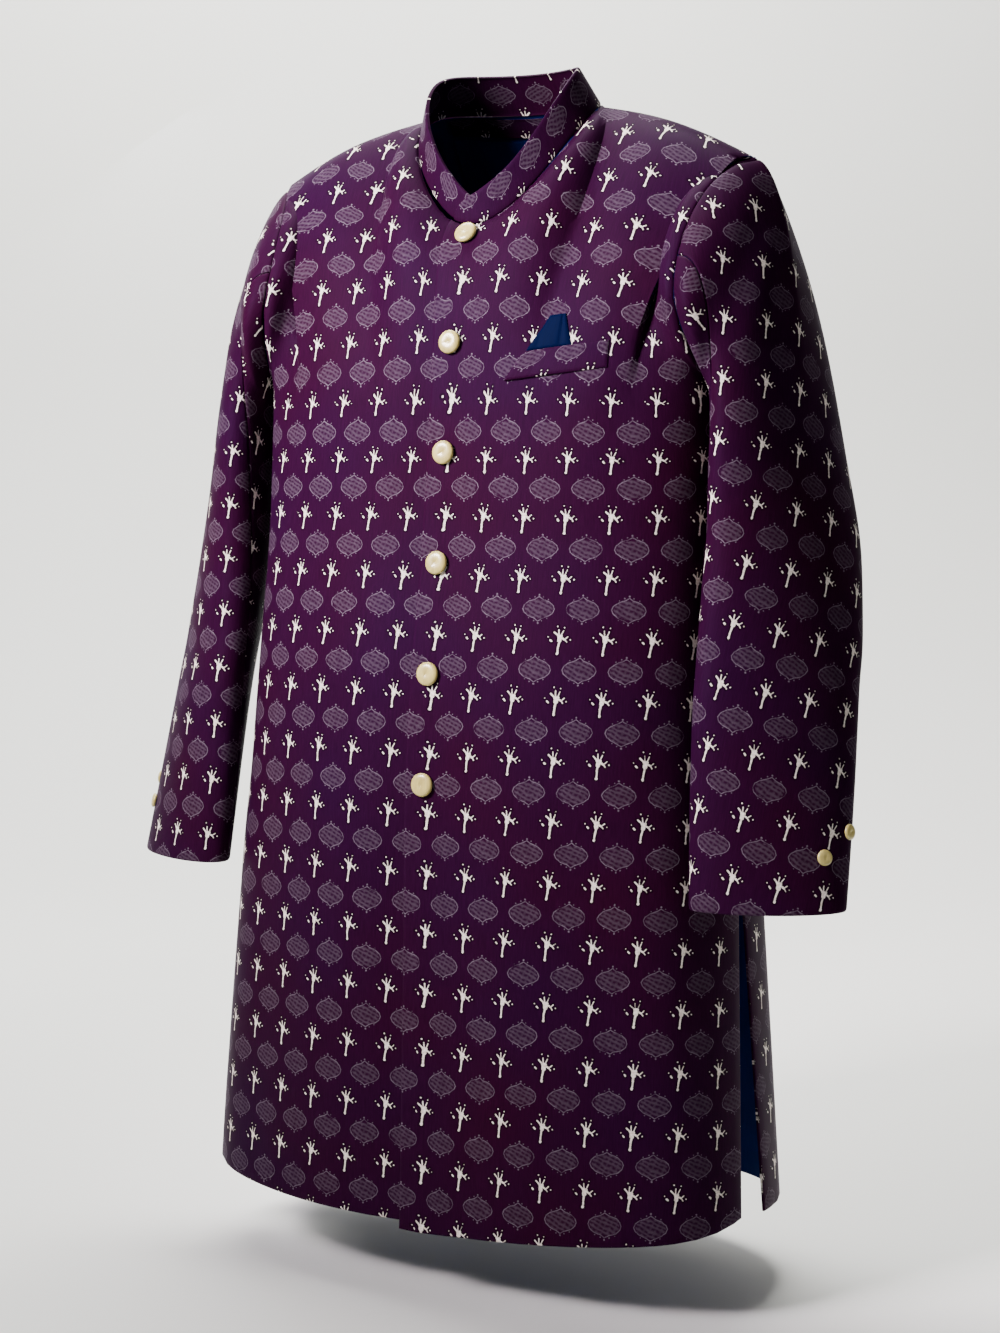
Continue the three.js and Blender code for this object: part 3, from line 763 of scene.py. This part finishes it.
def repeat(add, place, width, height, shift):
    """Socket with the place inside one repeat of the pattern, from its middle."""
    moved = add("VectorMath", operation="ADD", i0=place, i1=shift)
    half = Vector((width / 2, height / 2, 1))
    return add("VectorMath", operation="WRAP", i0=moved, i1=half, i2=-half)


def brocade_material(name, cloth, shift, lean=0):
    """Silk jacquard brocade, woven with a satin ground and raised weft figures.

    The eye gets a deep ground that drifts between violet and wine, with fine upright
    streaks, crisp cream sprigs that stand proud, dim hatched medallions, and a soft shine
    that is duller on the figures. shift places the pattern and lean turns it."""
    material, add = new_material(name)
    place = add("VectorMath", operation="SCALE", i0=add("UVMap", uv_map="cloth"), i3=1000.0)
    place = add("VectorRotate", rotation_type="Z_AXIS", Vector=place, Angle=math.radians(lean))
    # the weft never lies quite even, so the figures waver by a thread or two
    moved = place
    for scale, detail, reach in WAVERS:
        waver = add("TexNoise", "Color", Vector=place, Scale=scale, Detail=detail)
        waver = add("VectorMath", operation="SUBTRACT", i0=waver, i1=(0.5, 0.5, 0.5))
        waver = add("VectorMath", operation="SCALE", i0=waver, i3=reach)
        moved = add("VectorMath", operation="ADD", i0=moved, i1=waver)
    width, height = cloth.repeat_width * 1000, cloth.repeat_height * 1000

    stroke = stroke_field(add, repeat(add, moved, width, height, (*shift, 0)), SPRIG)
    sprig = add("MapRange", **SMOOTH, i0=stroke, i1=0.25, i2=-0.35)
    # painted shade: the ground is darkened close to the raised figures, standing in for the shade in the
    # hollow between them
    sunk = add("MapRange", **SMOOTH, i0=stroke, i1=0.2, i2=2.0, i3=0.35, i4=1.0)

    oval_place = repeat(add, moved, width, height, (shift[0] + width / 2, shift[1] + height / 2, 0))
    quarter = add("VectorMath", operation="ABSOLUTE", i0=oval_place)
    line = add("MapRange", **SMOOTH, i0=stroke_field(add, quarter, MEDALLION), i1=0.4, i2=-0.4)
    shape = add("VectorMath", operation="DIVIDE", i0=quarter, i1=(*MEDALLION_FILL, 1))
    shape = add("VectorMath", 1, operation="LENGTH", i0=shape)
    inside = add("MapRange", **SMOOTH, i0=shape, i1=1.02, i2=0.9)
    # fill of dots and wavy hatching, slanted across each medallion
    turned = math.radians(MEDALLION_SLANT)
    slant = add("VectorRotate", rotation_type="Z_AXIS", Vector=oval_place, Angle=turned)
    dots = add("VectorMath", operation="WRAP", i0=slant, i1=(2.1, 1.9, 1), i2=(-2.1, -1.9, -1))
    dots = add("VectorMath", 1, operation="LENGTH", i0=dots)
    dots = add("MapRange", **SMOOTH, i0=dots, i1=1.4, i2=0.7)
    hatch = add(
        "TexWave", "Fac", wave_type="BANDS", bands_direction="Y", wave_profile="SIN",
        Vector=slant, Scale=0.09, Distortion=3.4, Detail=1.0, Detail_Scale=1.1,
    )
    fill = add("Math", operation="MULTIPLY_ADD", i0=hatch, i1=0.26, i2=0.02)
    fill = add("Math", operation="MULTIPLY_ADD", i0=dots, i1=0.12, i2=fill)
    fill = add("Math", operation="MULTIPLY", i0=fill, i1=inside)
    oval = add("Math", operation="MAXIMUM", i0=fill, i1=line)
    patchy = add("TexNoise", "Fac", Vector=place, Scale=0.16, Detail=2.0)
    patchy = add("MapRange", i0=patchy, i1=0.3, i2=0.7, i3=0.62, i4=1.0)
    oval = add("Math", operation="MULTIPLY", i0=oval, i1=patchy)

    # shot ground: warp and weft of two colours, drifting slowly over the cloth
    drift = add("TexNoise", "Fac", Vector=place, Scale=0.0065, Detail=2.0)
    drift = add("MapRange", i0=drift, i1=0.25, i2=0.75)
    warp, weft = (*cloth.warp_colour, 1), (*cloth.weft_colour, 1)
    ground = add("Mix", 2, data_type="RGBA", i0=drift, i6=warp, i7=weft)
    # threads are 0.15 mm apart, too fine to show, so they are drawn at 0.9 mm
    stretch = add("VectorMath", operation="MULTIPLY", i0=place, i1=(1.1, 0.06, 1))
    slub = add("TexNoise", "Fac", Vector=stretch, Scale=1.0, Detail=3.0)
    shade = add("MapRange", i0=slub, i1=0.3, i2=0.7, i3=0.82, i4=1.16)
    # slub streaks, then the painted shade close to the figures
    for factor in (shade, sunk):
        ground = add("VectorMath", operation="SCALE", i0=ground, i3=factor)
    colour = add("Mix", 2, data_type="RGBA", i0=oval, i6=ground, i7=(*cloth.mauve_colour, 1))
    thread = add("TexNoise", "Fac", Vector=place, Scale=0.55, Detail=3.0)
    thread = add("MapRange", i0=thread, i1=0.3, i2=0.7)
    dull, cream = (*cloth.cream_shade, 1), (*cloth.cream_colour, 1)
    cream = add("Mix", 2, data_type="RGBA", i0=thread, i6=dull, i7=cream)
    colour = add("Mix", 2, data_type="RGBA", i0=sprig, i6=colour, i7=cream)

    twill = {"wave_type": "BANDS", "bands_direction": "DIAGONAL", "Scale": 0.25, "Distortion": 0.6}
    twill = add("TexWave", "Fac", **twill, Vector=place)
    relief = sprig
    for part, high in ((oval, 0.45), (twill, 0.12), (slub, 0.5)):
        relief = add("Math", operation="MULTIPLY_ADD", i0=part, i1=high, i2=relief)
    bump = add("Bump", Strength=0.5, Distance=0.00022, Height=relief)
    rough = add("MapRange", i0=relief, i1=0.1, i2=1.3, i3=0.5, i4=0.62)
    shader = add(
        "BsdfPrincipled", Base_Color=colour, Roughness=rough, Normal=bump, IOR=SILK_IOR,
        Specular_IOR_Level=0.018, Specular_Tint=(0.62, 0.38, 1.0, 1),
        Sheen_Weight=0.015, Sheen_Roughness=0.35, Sheen_Tint=(*linear("#5a55b8"), 1),
    )
    add("OutputMaterial", Surface=shader)
    return material


def two_tone(add, share, dark, light, **shader):
    """The last nodes of a plain material: two colours mixed by share, and its shader."""
    colour = add("Mix", 2, data_type="RGBA", i0=share, i6=(*dark, 1), i7=(*light, 1))
    add("OutputMaterial", Surface=add("BsdfPrincipled", Base_Color=colour, **shader))


def satin_material(name, blue):
    """Blue silk satin, woven smooth. The eye gets an even deep blue with a soft shine in
    fine streaks along the warp."""
    material, add = new_material(name)
    # warp threads are 0.1 mm apart, drawn as streaks about 1 mm wide
    place = add("VectorMath", operation="MULTIPLY", i0=add("UVMap", uv_map="cloth"), i1=(1000, 70, 1))
    streak = add("TexNoise", "Fac", Vector=place, Scale=1.0, Detail=3.0)
    bump = add("Bump", Strength=0.35, Distance=0.0001, Height=streak)
    dark, light = ([c * k for c in blue] for k in (0.7, 1.2))
    shine = {"Roughness": 0.5, "IOR": SILK_IOR, "Specular_IOR_Level": 0.006}
    two_tone(add, streak, dark, light, Normal=bump, **shine)
    return material


def horn_material(name, cloth):
    """Cream horn, turned and polished. The eye gets a pale, slightly clouded button with a
    glossy highlight."""
    material, add = new_material(name)
    # clouds 4 mm across and 12 mm long
    at = add("TexCoord", "Object")
    place = add("VectorMath", operation="MULTIPLY", i0=at, i1=(250, 250, 85))
    cloud = add("TexNoise", "Fac", Vector=place, Scale=1.0, Detail=4.0)
    cloud = add("MapRange", i0=cloud, i1=0.3, i2=0.7)
    bump = add("Bump", Strength=0.15, Distance=0.0001, Height=cloud)
    polish = {"Roughness": 0.32, "IOR": HORN_IOR, "Coat_Weight": 0.3}
    two_tone(add, cloud, cloth.horn_shade, cloth.horn_colour, Normal=bump, **polish)
    return material


def thread_material(name):
    """Silk sewing thread, twisted. The eye gets a dull dark violet with slanting ribs."""
    material, add = new_material(name)
    at = add("TexCoord", "Object")
    twist = add("TexWave", "Fac", bands_direction="DIAGONAL", Vector=at, Scale=600.0)
    two_tone(add, twist, linear("#160a1c"), linear("#34193f"), Roughness=0.6)
    return material


def paper_material(name):
    """Studio paper, rolled and matt. The eye gets an even pale ground with the faintest
    mottling."""
    material, add = new_material(name)
    mottle = add("TexNoise", "Fac", Vector=add("TexCoord", "Object"), Scale=1.4, Detail=2.0)
    matt = {"Roughness": 0.9, "Specular_IOR_Level": 0.1}
    two_tone(add, mottle, linear("#ecece9"), linear("#f4f4f2"), **matt)
    return material


# What a user may change


def shade(name, description, hex_colour):
    """A colour in the sidebar, given as sRGB hex."""
    default = linear(hex_colour)
    return FloatVectorProperty(name=name, description=description, subtype="COLOR", default=default)


def power(name, description, default):
    """A light's power in the sidebar, in watts."""
    return FloatProperty(name=name, description=description, default=default, unit="POWER")


class SherwaniCloth(bpy.types.PropertyGroup):
    """The brocade's pattern and the colours of the coat."""

    repeat_width: FloatProperty(
        name="Repeat width", description="From sprig to sprig", default=0.0375, unit="LENGTH"
    )
    repeat_height: FloatProperty(
        name="Repeat height", description="From row to row", default=0.050, unit="LENGTH"
    )
    warp_colour: shade("Warp", "Violet of the satin ground", "#210524")
    weft_colour: shade("Weft", "Wine colour that shows through", "#26041c")
    mauve_colour: shade("Medallions", "Dim mauve of the medallions", "#6f6370")
    cream_colour: shade("Sprigs", "Cream of the sprigs", "#fbf4ee")
    cream_shade: shade("Sprig shade", "Darker threads of the sprigs", "#cdbfb0")
    # the square and the lining are one satin; the lining's blue is painted several times lighter, to stand in
    # for light that hardly reaches inside the neck
    square_colour: shade("Square", "Blue of the pocket square", "#020a2a")
    lining_colour: shade("Lining", "Blue of the lining", "#081c55")
    horn_colour: shade("Buttons", "Cream of the buttons", "#ccbd6e")
    horn_shade: shade("Button shade", "Clouding of the buttons", "#ac9c58")


class SherwaniStudio(bpy.types.PropertyGroup):
    """Light of the pale studio."""

    key_power: power("Key light", "Power of the large light", 13)
    fill_power: power("Fill light", "Power of the fill light", 4.5)
    rim_power: power("Rim light", "Power of the light behind", 10)
    paper_power: power("Paper light", "Power of the paper's light", 200)
    room_light: FloatProperty(name="Room light", description="Strength of the room's light", default=0.05)


# Pieces


def plain_coordinates(sheet, us, vs):
    """Cloth coordinates from the lengths along and up a narrow band."""
    grid = sheet(us[:, None], vs[None, :])[0]
    along = run_lengths(grid, 0)[:, len(vs) // 2]
    up = run_lengths(grid, 1)
    return np.stack([np.broadcast_to(along[:, None], up.shape), up], -1)


def band_piece(node, slot, sheet, us, vs, material, held="stretched", **words):
    """Makes a small piece with plain cloth coordinates, and hides the solid it stands for."""
    cloth = plain_coordinates(sheet, us, vs)
    piece = cloth_shell(f"{node}_cloth", sheet, us, vs, cloth, [material], **words)
    declare(piece, node, slot, cloth, us, vs, sheet, held)


def cut_piece(node, sheet, coarse, fine, grain, hand, upright, materials, height):
    """Makes a large piece, laid flat first, and hides the solid it stands for. coarse and fine
    are grid places across and up; upright is -1 where these run down the cloth."""
    flat = flat_pattern(sheet, *coarse, grain, hand)
    flat[..., 1] *= upright
    cloth = spread(flat, *coarse, *fine)
    piece = cloth_shell(f"{node}_cloth", sheet, *fine, cloth, materials, height=height)
    declare(piece, node, "brocade", cloth, *fine, sheet)


def body_height(folds, buttoned, u, v, place):
    """Soft folds of a panel, drawn in round the front buttons where it has them."""
    soft = fold_height(np.abs(place[..., 0]), place[..., 2], folds)
    if buttoned:
        below = (BUTTON_TOP_Z - place[..., 2]) / BUTTON_PITCH
        off = (below - np.clip(np.round(below), 0, FRONT_BUTTONS - 1)) * BUTTON_PITCH
        far = np.hypot(place[..., 0], off)
        soft = soft - SHANK_DRAW * np.exp(-((far / SHANK_REACH) ** 2))
    return soft


def sleeve_height(u, v, place):
    drop = -place[..., 2]
    return fold_height(np.broadcast_to(u, drop.shape) * ROUND_TO_MM, drop, SLEEVE_FOLD_LINES)


def grid_places(*parts):
    return np.unique(np.round(np.concatenate(parts), 6))


class SHERWANI_OT_body(bpy.types.Operator):
    """Makes the two fronts and the back"""

    bl_idname = "sherwani.body"
    bl_label = "Fronts and back"

    def execute(self, context):
        cloth = context.scene.sherwani_cloth
        brocade = made_once(brocade_material, "woven_brocade", cloth, (-2.7, -9.4))
        satin = made_once(satin_material, "woven_blue_satin", cloth.lining_colour)
        coarse_v = np.concatenate([np.linspace(0, 1, 12), np.linspace(1, 2, 12)[1:]])
        skirt, chest = fine_steps(0, 1, 96, 0.003)[:-4], fine_steps(1, 2, 56, 0.008)[4:]
        fine_v = grid_places(skirt, chest, np.linspace(0.97, 1.03, 7))
        half = np.array([0, 0.35, 0.7, 1, 1.5, 2, 2.15, 2.3, 2.45, 2.6, 2.75, 2.88, 3])
        front_u = np.concatenate([[-1, -0.5], half])
        back_u = np.concatenate([-half[:0:-1], half])
        rows = (
            ("front_left", left_front, front_u, fine_steps(-1, 3, 64, 0.02), FRONT_FOLDS, 1),
            ("front_right", right_front, front_u, fine_steps(-1, 3, 64, 0.02), FRONT_FOLDS, -1),
            ("back", back, back_u, fine_steps(-3, 3, 108, 0.02), BACK_FOLDS, -1),
        )
        for node, sheet, coarse_u, fine_u, folds, hand in rows:
            grain = int(np.argmin(np.abs(coarse_u)))
            height = partial(body_height, folds, node == "front_left")
            coarse, fine = (coarse_u, coarse_v), (fine_u, fine_v)
            cut_piece(node, sheet, coarse, fine, grain, hand, 1, [brocade, satin], height)
        return {"FINISHED"}


class SHERWANI_OT_sleeves(bpy.types.Operator):
    """Makes the two-piece sleeves"""

    bl_idname = "sherwani.sleeves"
    bl_label = "Sleeves"

    def execute(self, context):
        cloth = context.scene.sherwani_cloth
        brocade = made_once(brocade_material, "woven_brocade_sleeves", cloth, (0, 0), 4)
        satin = made_once(satin_material, "woven_blue_satin", cloth.lining_colour)
        nick = SEAM_GAP / SLEEVE_ROUND
        front, rear = SLEEVE_SEAMS
        coarse_v = np.concatenate([np.linspace(0, 1, 10), np.linspace(1, 2, 10)[1:]])
        head, arm = fine_steps(0, 1, 44, 0.012)[:-4], fine_steps(1, 2, 56, 0.006)[4:]
        fine_v = grid_places(head, arm, [0.98, 1.0, 1.02])
        for side, sheet, hand in (("left", left_sleeve, 1), ("right", mirrored(left_sleeve), -1)):
            for part, low, high in (("top", front, rear), ("under", rear - 1, front)):
                coarse_u = np.linspace(low + nick, high - nick, 15)
                grain = len(coarse_u) // 2
                fine_u = fine_steps(low + nick, high - nick, 56, 0.006)
                node, coarse, fine = f"sleeve_{side}_{part}", (coarse_u, coarse_v), (fine_u, fine_v)
                cut_piece(node, sheet, coarse, fine, grain, hand, -1, [brocade, satin], sleeve_height)
        return {"FINISHED"}


class SHERWANI_OT_collar(bpy.types.Operator):
    """Makes the band collar, and the facing and lining that show inside the neck"""

    bl_idname = "sherwani.collar"
    bl_label = "Collar and neck facing"

    def execute(self, context):
        cloth = context.scene.sherwani_cloth
        brocade = made_once(brocade_material, "woven_brocade_collar", cloth, (6, 4))
        satin = made_once(satin_material, "woven_blue_satin", cloth.lining_colour)
        near = np.array([0, 0.4, 0.9, 1.6, 2.6, 4, 6, 9])
        middle = np.linspace(COLLAR_FROM + 12, COLLAR_TO - 12, 150)
        us = np.unique(np.concatenate([COLLAR_FROM + near, middle, COLLAR_TO - near[::-1]]))
        vs = fine_steps(0, 1, 14, 0.05)
        band_piece("collar", "brocade", collar, us, vs, brocade, wall=COLLAR_WALL)

        us = fine_steps(-FACING_REACH, FACING_REACH, 44)
        rows = (
            ("back_neck_facing", FACING_FOOT + 0.01, 1.985, 10, brocade, "brocade"),
            ("back_lining", LINING_FOOT, FACING_FOOT - 0.01, 20, satin, "lining"),
        )
        for node, low, high, count, material, slot in rows:
            vs = np.linspace(low, high, count + 1)
            inside = {"wall": INNER_WALL, "lift": -WALL - INNER_STAND}
            band_piece(node, slot, back, us, vs, material, **inside)
        return {"FINISHED"}


def pocket_line(x):
    """Height of the welt's lower edge, which rises to the wearer's left."""
    return WELT["z"] + WELT["rise"] * (x - WELT["inner"]) / (WELT["outer"] - WELT["inner"])


def welt(u, v):
    slant = WELT["slant"] * v
    x = WELT["inner"] + slant + (WELT["outer"] - WELT["inner"] - slant) * u
    return front_spot(x, pocket_line(x) + WELT["height"] * v)


def square(u, v):
    low = SQUARE["inner"] + SQUARE["inner_slant"] * v
    high = SQUARE["outer"] - SQUARE["outer_slant"] * v
    x = low + (high - low) * u
    return front_spot(x, pocket_line(x) + WELT["height"] + SEAM_GAP + SQUARE["height"] * v)


def square_folds(u, v, place):
    """One crease beside the peak, on a soft swell."""
    at, lean, width, depth = SQUARE["crease"]
    crease = np.exp(-(((u - at - lean * v) / width) ** 2)) * -depth
    swell = SQUARE["swell"] * np.sin(np.pi * np.clip(u, 0, 1)) * (1 - 0.5 * v)
    return crease + swell - SQUARE["sink"]


class SHERWANI_OT_pocket(bpy.types.Operator):
    """Makes the breast pocket's welt and the folded square in it"""

    bl_idname = "sherwani.pocket"
    bl_label = "Breast pocket"

    def execute(self, context):
        cloth = context.scene.sherwani_cloth
        brocade = made_once(brocade_material, "woven_brocade_welt", cloth, (-30, 6))
        satin = made_once(satin_material, "woven_satin_square", cloth.square_colour)
        us, vs = fine_steps(0, 1, 60, 0.026), fine_steps(0, 1, 18, 0.09)
        band_piece("pocket_welt", "brocade", welt, us, vs, brocade, lift=WALL + WELT["stand"])
        us, vs = fine_steps(0, 1, 40, 0.05), fine_steps(0, 1, 24, 0.07)
        words = {"wall": SQUARE["wall"], "lift": SQUARE["wall"] + WELT["stand"], "height": square_folds}
        band_piece("pocket_square", "lining", square, us, vs, satin, "folded", **words)
        return {"FINISHED"}


def circle(radius, high, sides):
    """Places round a level circle. high may be one height or one for each place."""
    turn = np.linspace(0, 2 * np.pi, sides, endpoint=False)
    return points(radius * np.cos(turn), radius * np.sin(turn), high)


def tube_faces(rings, sides, start):
    """Faces of a closed tube of rings, the first ring at the foot."""
    faces = []
    for low in range(start, start + (rings - 1) * sides, sides):
        for k in range(sides):
            after = (k + 1) % sides
            faces.append((low + k, low + after, low + sides + after, low + sides + k))
    foot, top = range(start, start + sides), range(start + (rings - 1) * sides, start + rings * sides)
    return faces + [tuple(foot)[::-1], tuple(top)]


def button_mesh(name, size):
    """A domed button with a rolled rim, a dent in its middle and a shank of thread."""
    radius, rim = size["radius"], size["rim"]
    top = rim + size["dome"]
    rings = []
    for share, high in BUTTON_PROFILE:
        ring = circle(radius * share, high * top, BUTTON_SIDES)
        run, across = ring[:, 0] / (DENT["length"] * radius), ring[:, 1] / (DENT["width"] * radius)
        ring[:, 2] -= DENT["depth"] * np.exp(-(run**2) - across**2) * (high * top > rim)
        rings.append(ring)
    faces = tube_faces(len(rings), BUTTON_SIDES, 0)
    horn_count, start = len(faces), len(rings) * BUTTON_SIDES
    for high in (-BUTTON_STAND - SHANK_SINK, SHANK_RISE):
        rings.append(circle(SHANK_SHARE * radius, high, SHANK_SIDES))
    faces += tube_faces(2, SHANK_SIDES, start)
    mesh = bpy.data.meshes.new(name)
    mesh.from_pydata((np.concatenate(rings) * MM).tolist(), [], faces)
    slots = [0] * horn_count + [1] * (len(faces) - horn_count)
    mesh.polygons.foreach_set("material_index", slots)
    return mesh


class SHERWANI_OT_buttons(bpy.types.Operator):
    """Makes the front and cuff buttons on their thread shanks"""

    bl_idname = "sherwani.buttons"
    bl_label = "Buttons"

    def execute(self, context):
        cloth = context.scene.sherwani_cloth
        horn = made_once(horn_material, "polished_cream_horn", cloth)
        thread = made_once(thread_material, "twisted_silk_thread")
        places = []
        for i in range(FRONT_BUTTONS):
            spot = front_spot(0.0, BUTTON_TOP_Z - BUTTON_PITCH * i)
            places.append((f"button_front_{i + 1}", FRONT_BUTTON, spot))
        for side, sheet in (("left", left_sleeve), ("right", mirrored(left_sleeve))):
            for place, round_at, drop in CUFF_BUTTONS:
                down = 1 + (drop - SLEEVE_TOP) / (CUFF - SLEEVE_TOP)
                spot = sheet(np.array(round_at), np.array(down))
                places.append((f"button_cuff_{side}_{place}", CUFF_BUTTON, spot))
        for number, (node, size, (place, facing)) in enumerate(places):
            mesh = button_mesh(f"{node}_horn", size)
            turn = Vector((0, 0, 1)).rotation_difference(Vector(facing)).to_matrix().to_4x4()
            spin = Matrix.Rotation(math.radians(BUTTON_SPIN * number), 4, "Z")
            spot = Vector((place + facing * BUTTON_STAND) * MM)
            mesh.transform(Matrix.Translation(spot) @ turn @ spin)
            piece = finish_piece(f"{node}_horn", mesh, [horn, thread], BUTTON_SHARP)
            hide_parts(node)
        return {"FINISHED"}


# Studio, in metres and degrees apart from the camera's place, which is in millimetres

CAMERA = {"azimuth": 29, "away": 2142, "aside": -7, "z": -299, "tilt": 5.08, "focal_px": 2434}
SENSOR_MM = 36
PHOTO_HEIGHT_PX = 1333
FLOOR_Z = -1012
# The sweep: its ends, the radius of its curve, its height, half its width and how many
# steps the curve takes
SWEEP = {"front": -2.6, "back": 1.5, "curve": 0.9, "top": 3.2, "half": 4.0, "steps": 16}
LIT_MIDDLE = (0, 0, -0.26)
# name, direction from the front to the wearer's left, height angle, distance, width and
# height, spread, name of its power, colour
LIGHTS = (
    ("key", -29, 27, 1.7, (0.6, 0.6), 52, "key_power", "#fdf2f8"),
    ("fill", 78, 16, 2.6, (1.2, 1.8), 180, "fill_power", "#f4f2ff"),
    ("rim", -128, 30, 2.4, (0.8, 1.6), 180, "rim_power", "#e4e8ff"),
)
# The paper's light: how far ahead, aside and up it stands, and the same for what it lights
PAPER_LIGHT = {"from": (0.75, -0.35, 1.9), "to": (2.1, -0.2, -0.6), "size": (1.7, 0.8), "colour": "#fffefa"}


def linked(scene, name, data):
    made = bpy.data.objects.new(name, data)
    scene.collection.objects.link(made)
    return made


def add_light(scene, name, spot, target, size, spread_angle, watts, colour):
    data = bpy.data.lights.new(name, "AREA")
    data.shape = "RECTANGLE"
    data.size, data.size_y = size
    data.spread = math.radians(spread_angle)
    data.energy = watts
    data.color = linear(colour)
    light = linked(scene, name, data)
    light.location = spot
    light.rotation_euler = (target - spot).to_track_quat("-Z", "Y").to_euler()


class SHERWANI_OT_studio(bpy.types.Operator):
    """Makes the pale sweep, the lights and the camera"""

    bl_idname = "sherwani.studio"
    bl_label = "Studio"

    def execute(self, context):
        scene = context.scene
        studio = scene.sherwani_studio
        azimuth = math.radians(CAMERA["azimuth"])
        right = Vector((math.cos(azimuth), math.sin(azimuth), 0))
        ahead = Vector((-math.sin(azimuth), math.cos(azimuth), 0))
        upward = Vector((0, 0, 1))
        tilt = math.radians(CAMERA["tilt"])
        forward = ahead * math.cos(tilt) - upward * math.sin(tilt)
        data = bpy.data.cameras.new("camera")
        data.sensor_fit = "VERTICAL"
        data.sensor_height = SENSOR_MM
        data.lens = CAMERA["focal_px"] * SENSOR_MM / PHOTO_HEIGHT_PX
        camera = linked(scene, "camera", data)
        spot = (-ahead * CAMERA["away"] + right * CAMERA["aside"]) * MM
        camera.location = (spot.x, spot.y, CAMERA["z"] * MM)
        camera.rotation_euler = forward.to_track_quat("-Z", "Y").to_euler()
        scene.camera = camera

        # a level floor that curves up behind the coat
        profile = [(away, 0.0) for away in (SWEEP["front"], -1.0, 0.6, SWEEP["back"] - 0.2)]
        for k in range(SWEEP["steps"] + 1):
            a = math.pi / 2 * k / SWEEP["steps"]
            profile.append((SWEEP["back"] + SWEEP["curve"] * math.sin(a), SWEEP["curve"] * (1 - math.cos(a))))
        profile.append((SWEEP["back"] + SWEEP["curve"], SWEEP["top"]))
        spots, faces = [], []
        for away, up in profile:
            for side in (-SWEEP["half"], SWEEP["half"]):
                p = ahead * away + right * side
                spots.append((p.x, p.y, FLOOR_Z * MM + up))
        for k in range(0, 2 * len(profile) - 2, 2):
            faces.append((k, k + 1, k + 3, k + 2))
        mesh = bpy.data.meshes.new("paper_sweep")
        mesh.from_pydata(spots, [], faces)
        mesh.polygons.foreach_set("use_smooth", [True] * len(faces))
        mesh.materials.append(paper_material("matt_studio_paper"))
        linked(scene, "paper_sweep", mesh)

        middle = Vector(LIT_MIDDLE)
        for name, turn, lift, far, size, spread_angle, watts, colour in LIGHTS:
            a, e = math.radians(turn), math.radians(lift)
            away = Vector((math.sin(a) * math.cos(e), -math.cos(a) * math.cos(e), math.sin(e)))
            watts = getattr(studio, watts)
            add_light(scene, name, middle + away * far, middle, size, spread_angle, watts, colour)
        spot, target = (
            ahead * x + right * y + upward * z for x, y, z in (PAPER_LIGHT["from"], PAPER_LIGHT["to"])
        )
        size, colour = PAPER_LIGHT["size"], PAPER_LIGHT["colour"]
        add_light(scene, "paper", spot, target, size, 180, studio.paper_power, colour)
        world = bpy.data.worlds.new("studio_room")
        world.use_nodes = True
        background = world.node_tree.nodes["Background"]
        background.inputs["Color"].default_value = (*linear("#f0f0f2"), 1)
        background.inputs["Strength"].default_value = studio.room_light
        scene.world = world
        return {"FINISHED"}


class SHERWANI_PT_panel(bpy.types.Panel):
    """Lists the coat's pieces, colours and lights"""

    bl_idname = "SHERWANI_PT_panel"
    bl_label = "Sherwani"
    bl_space_type = "VIEW_3D"
    bl_region_type = "UI"
    bl_category = "Sherwani"

    def draw(self, context):
        for group in (context.scene.sherwani_cloth, context.scene.sherwani_studio):
            for name in group.__annotations__:
                self.layout.prop(group, name)
        for maker in MAKERS:
            self.layout.operator(maker.bl_idname)


MAKERS = (
    SHERWANI_OT_studio,
    SHERWANI_OT_body,
    SHERWANI_OT_sleeves,
    SHERWANI_OT_collar,
    SHERWANI_OT_pocket,
    SHERWANI_OT_buttons,
)
CLASSES = (SherwaniCloth, SherwaniStudio, *MAKERS, SHERWANI_PT_panel)


def register():
    for made in CLASSES:
        bpy.utils.register_class(made)
    bpy.types.Scene.sherwani_cloth = PointerProperty(type=SherwaniCloth)
    bpy.types.Scene.sherwani_studio = PointerProperty(type=SherwaniStudio)


def unregister():
    del bpy.types.Scene.sherwani_cloth
    del bpy.types.Scene.sherwani_studio
    for made in reversed(CLASSES):
        bpy.utils.unregister_class(made)


def main():
    register()
    for maker in MAKERS:
        group, name = maker.bl_idname.split(".")
        getattr(getattr(bpy.ops, group), name)()
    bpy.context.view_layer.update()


if __name__ == "__main__":
    main()
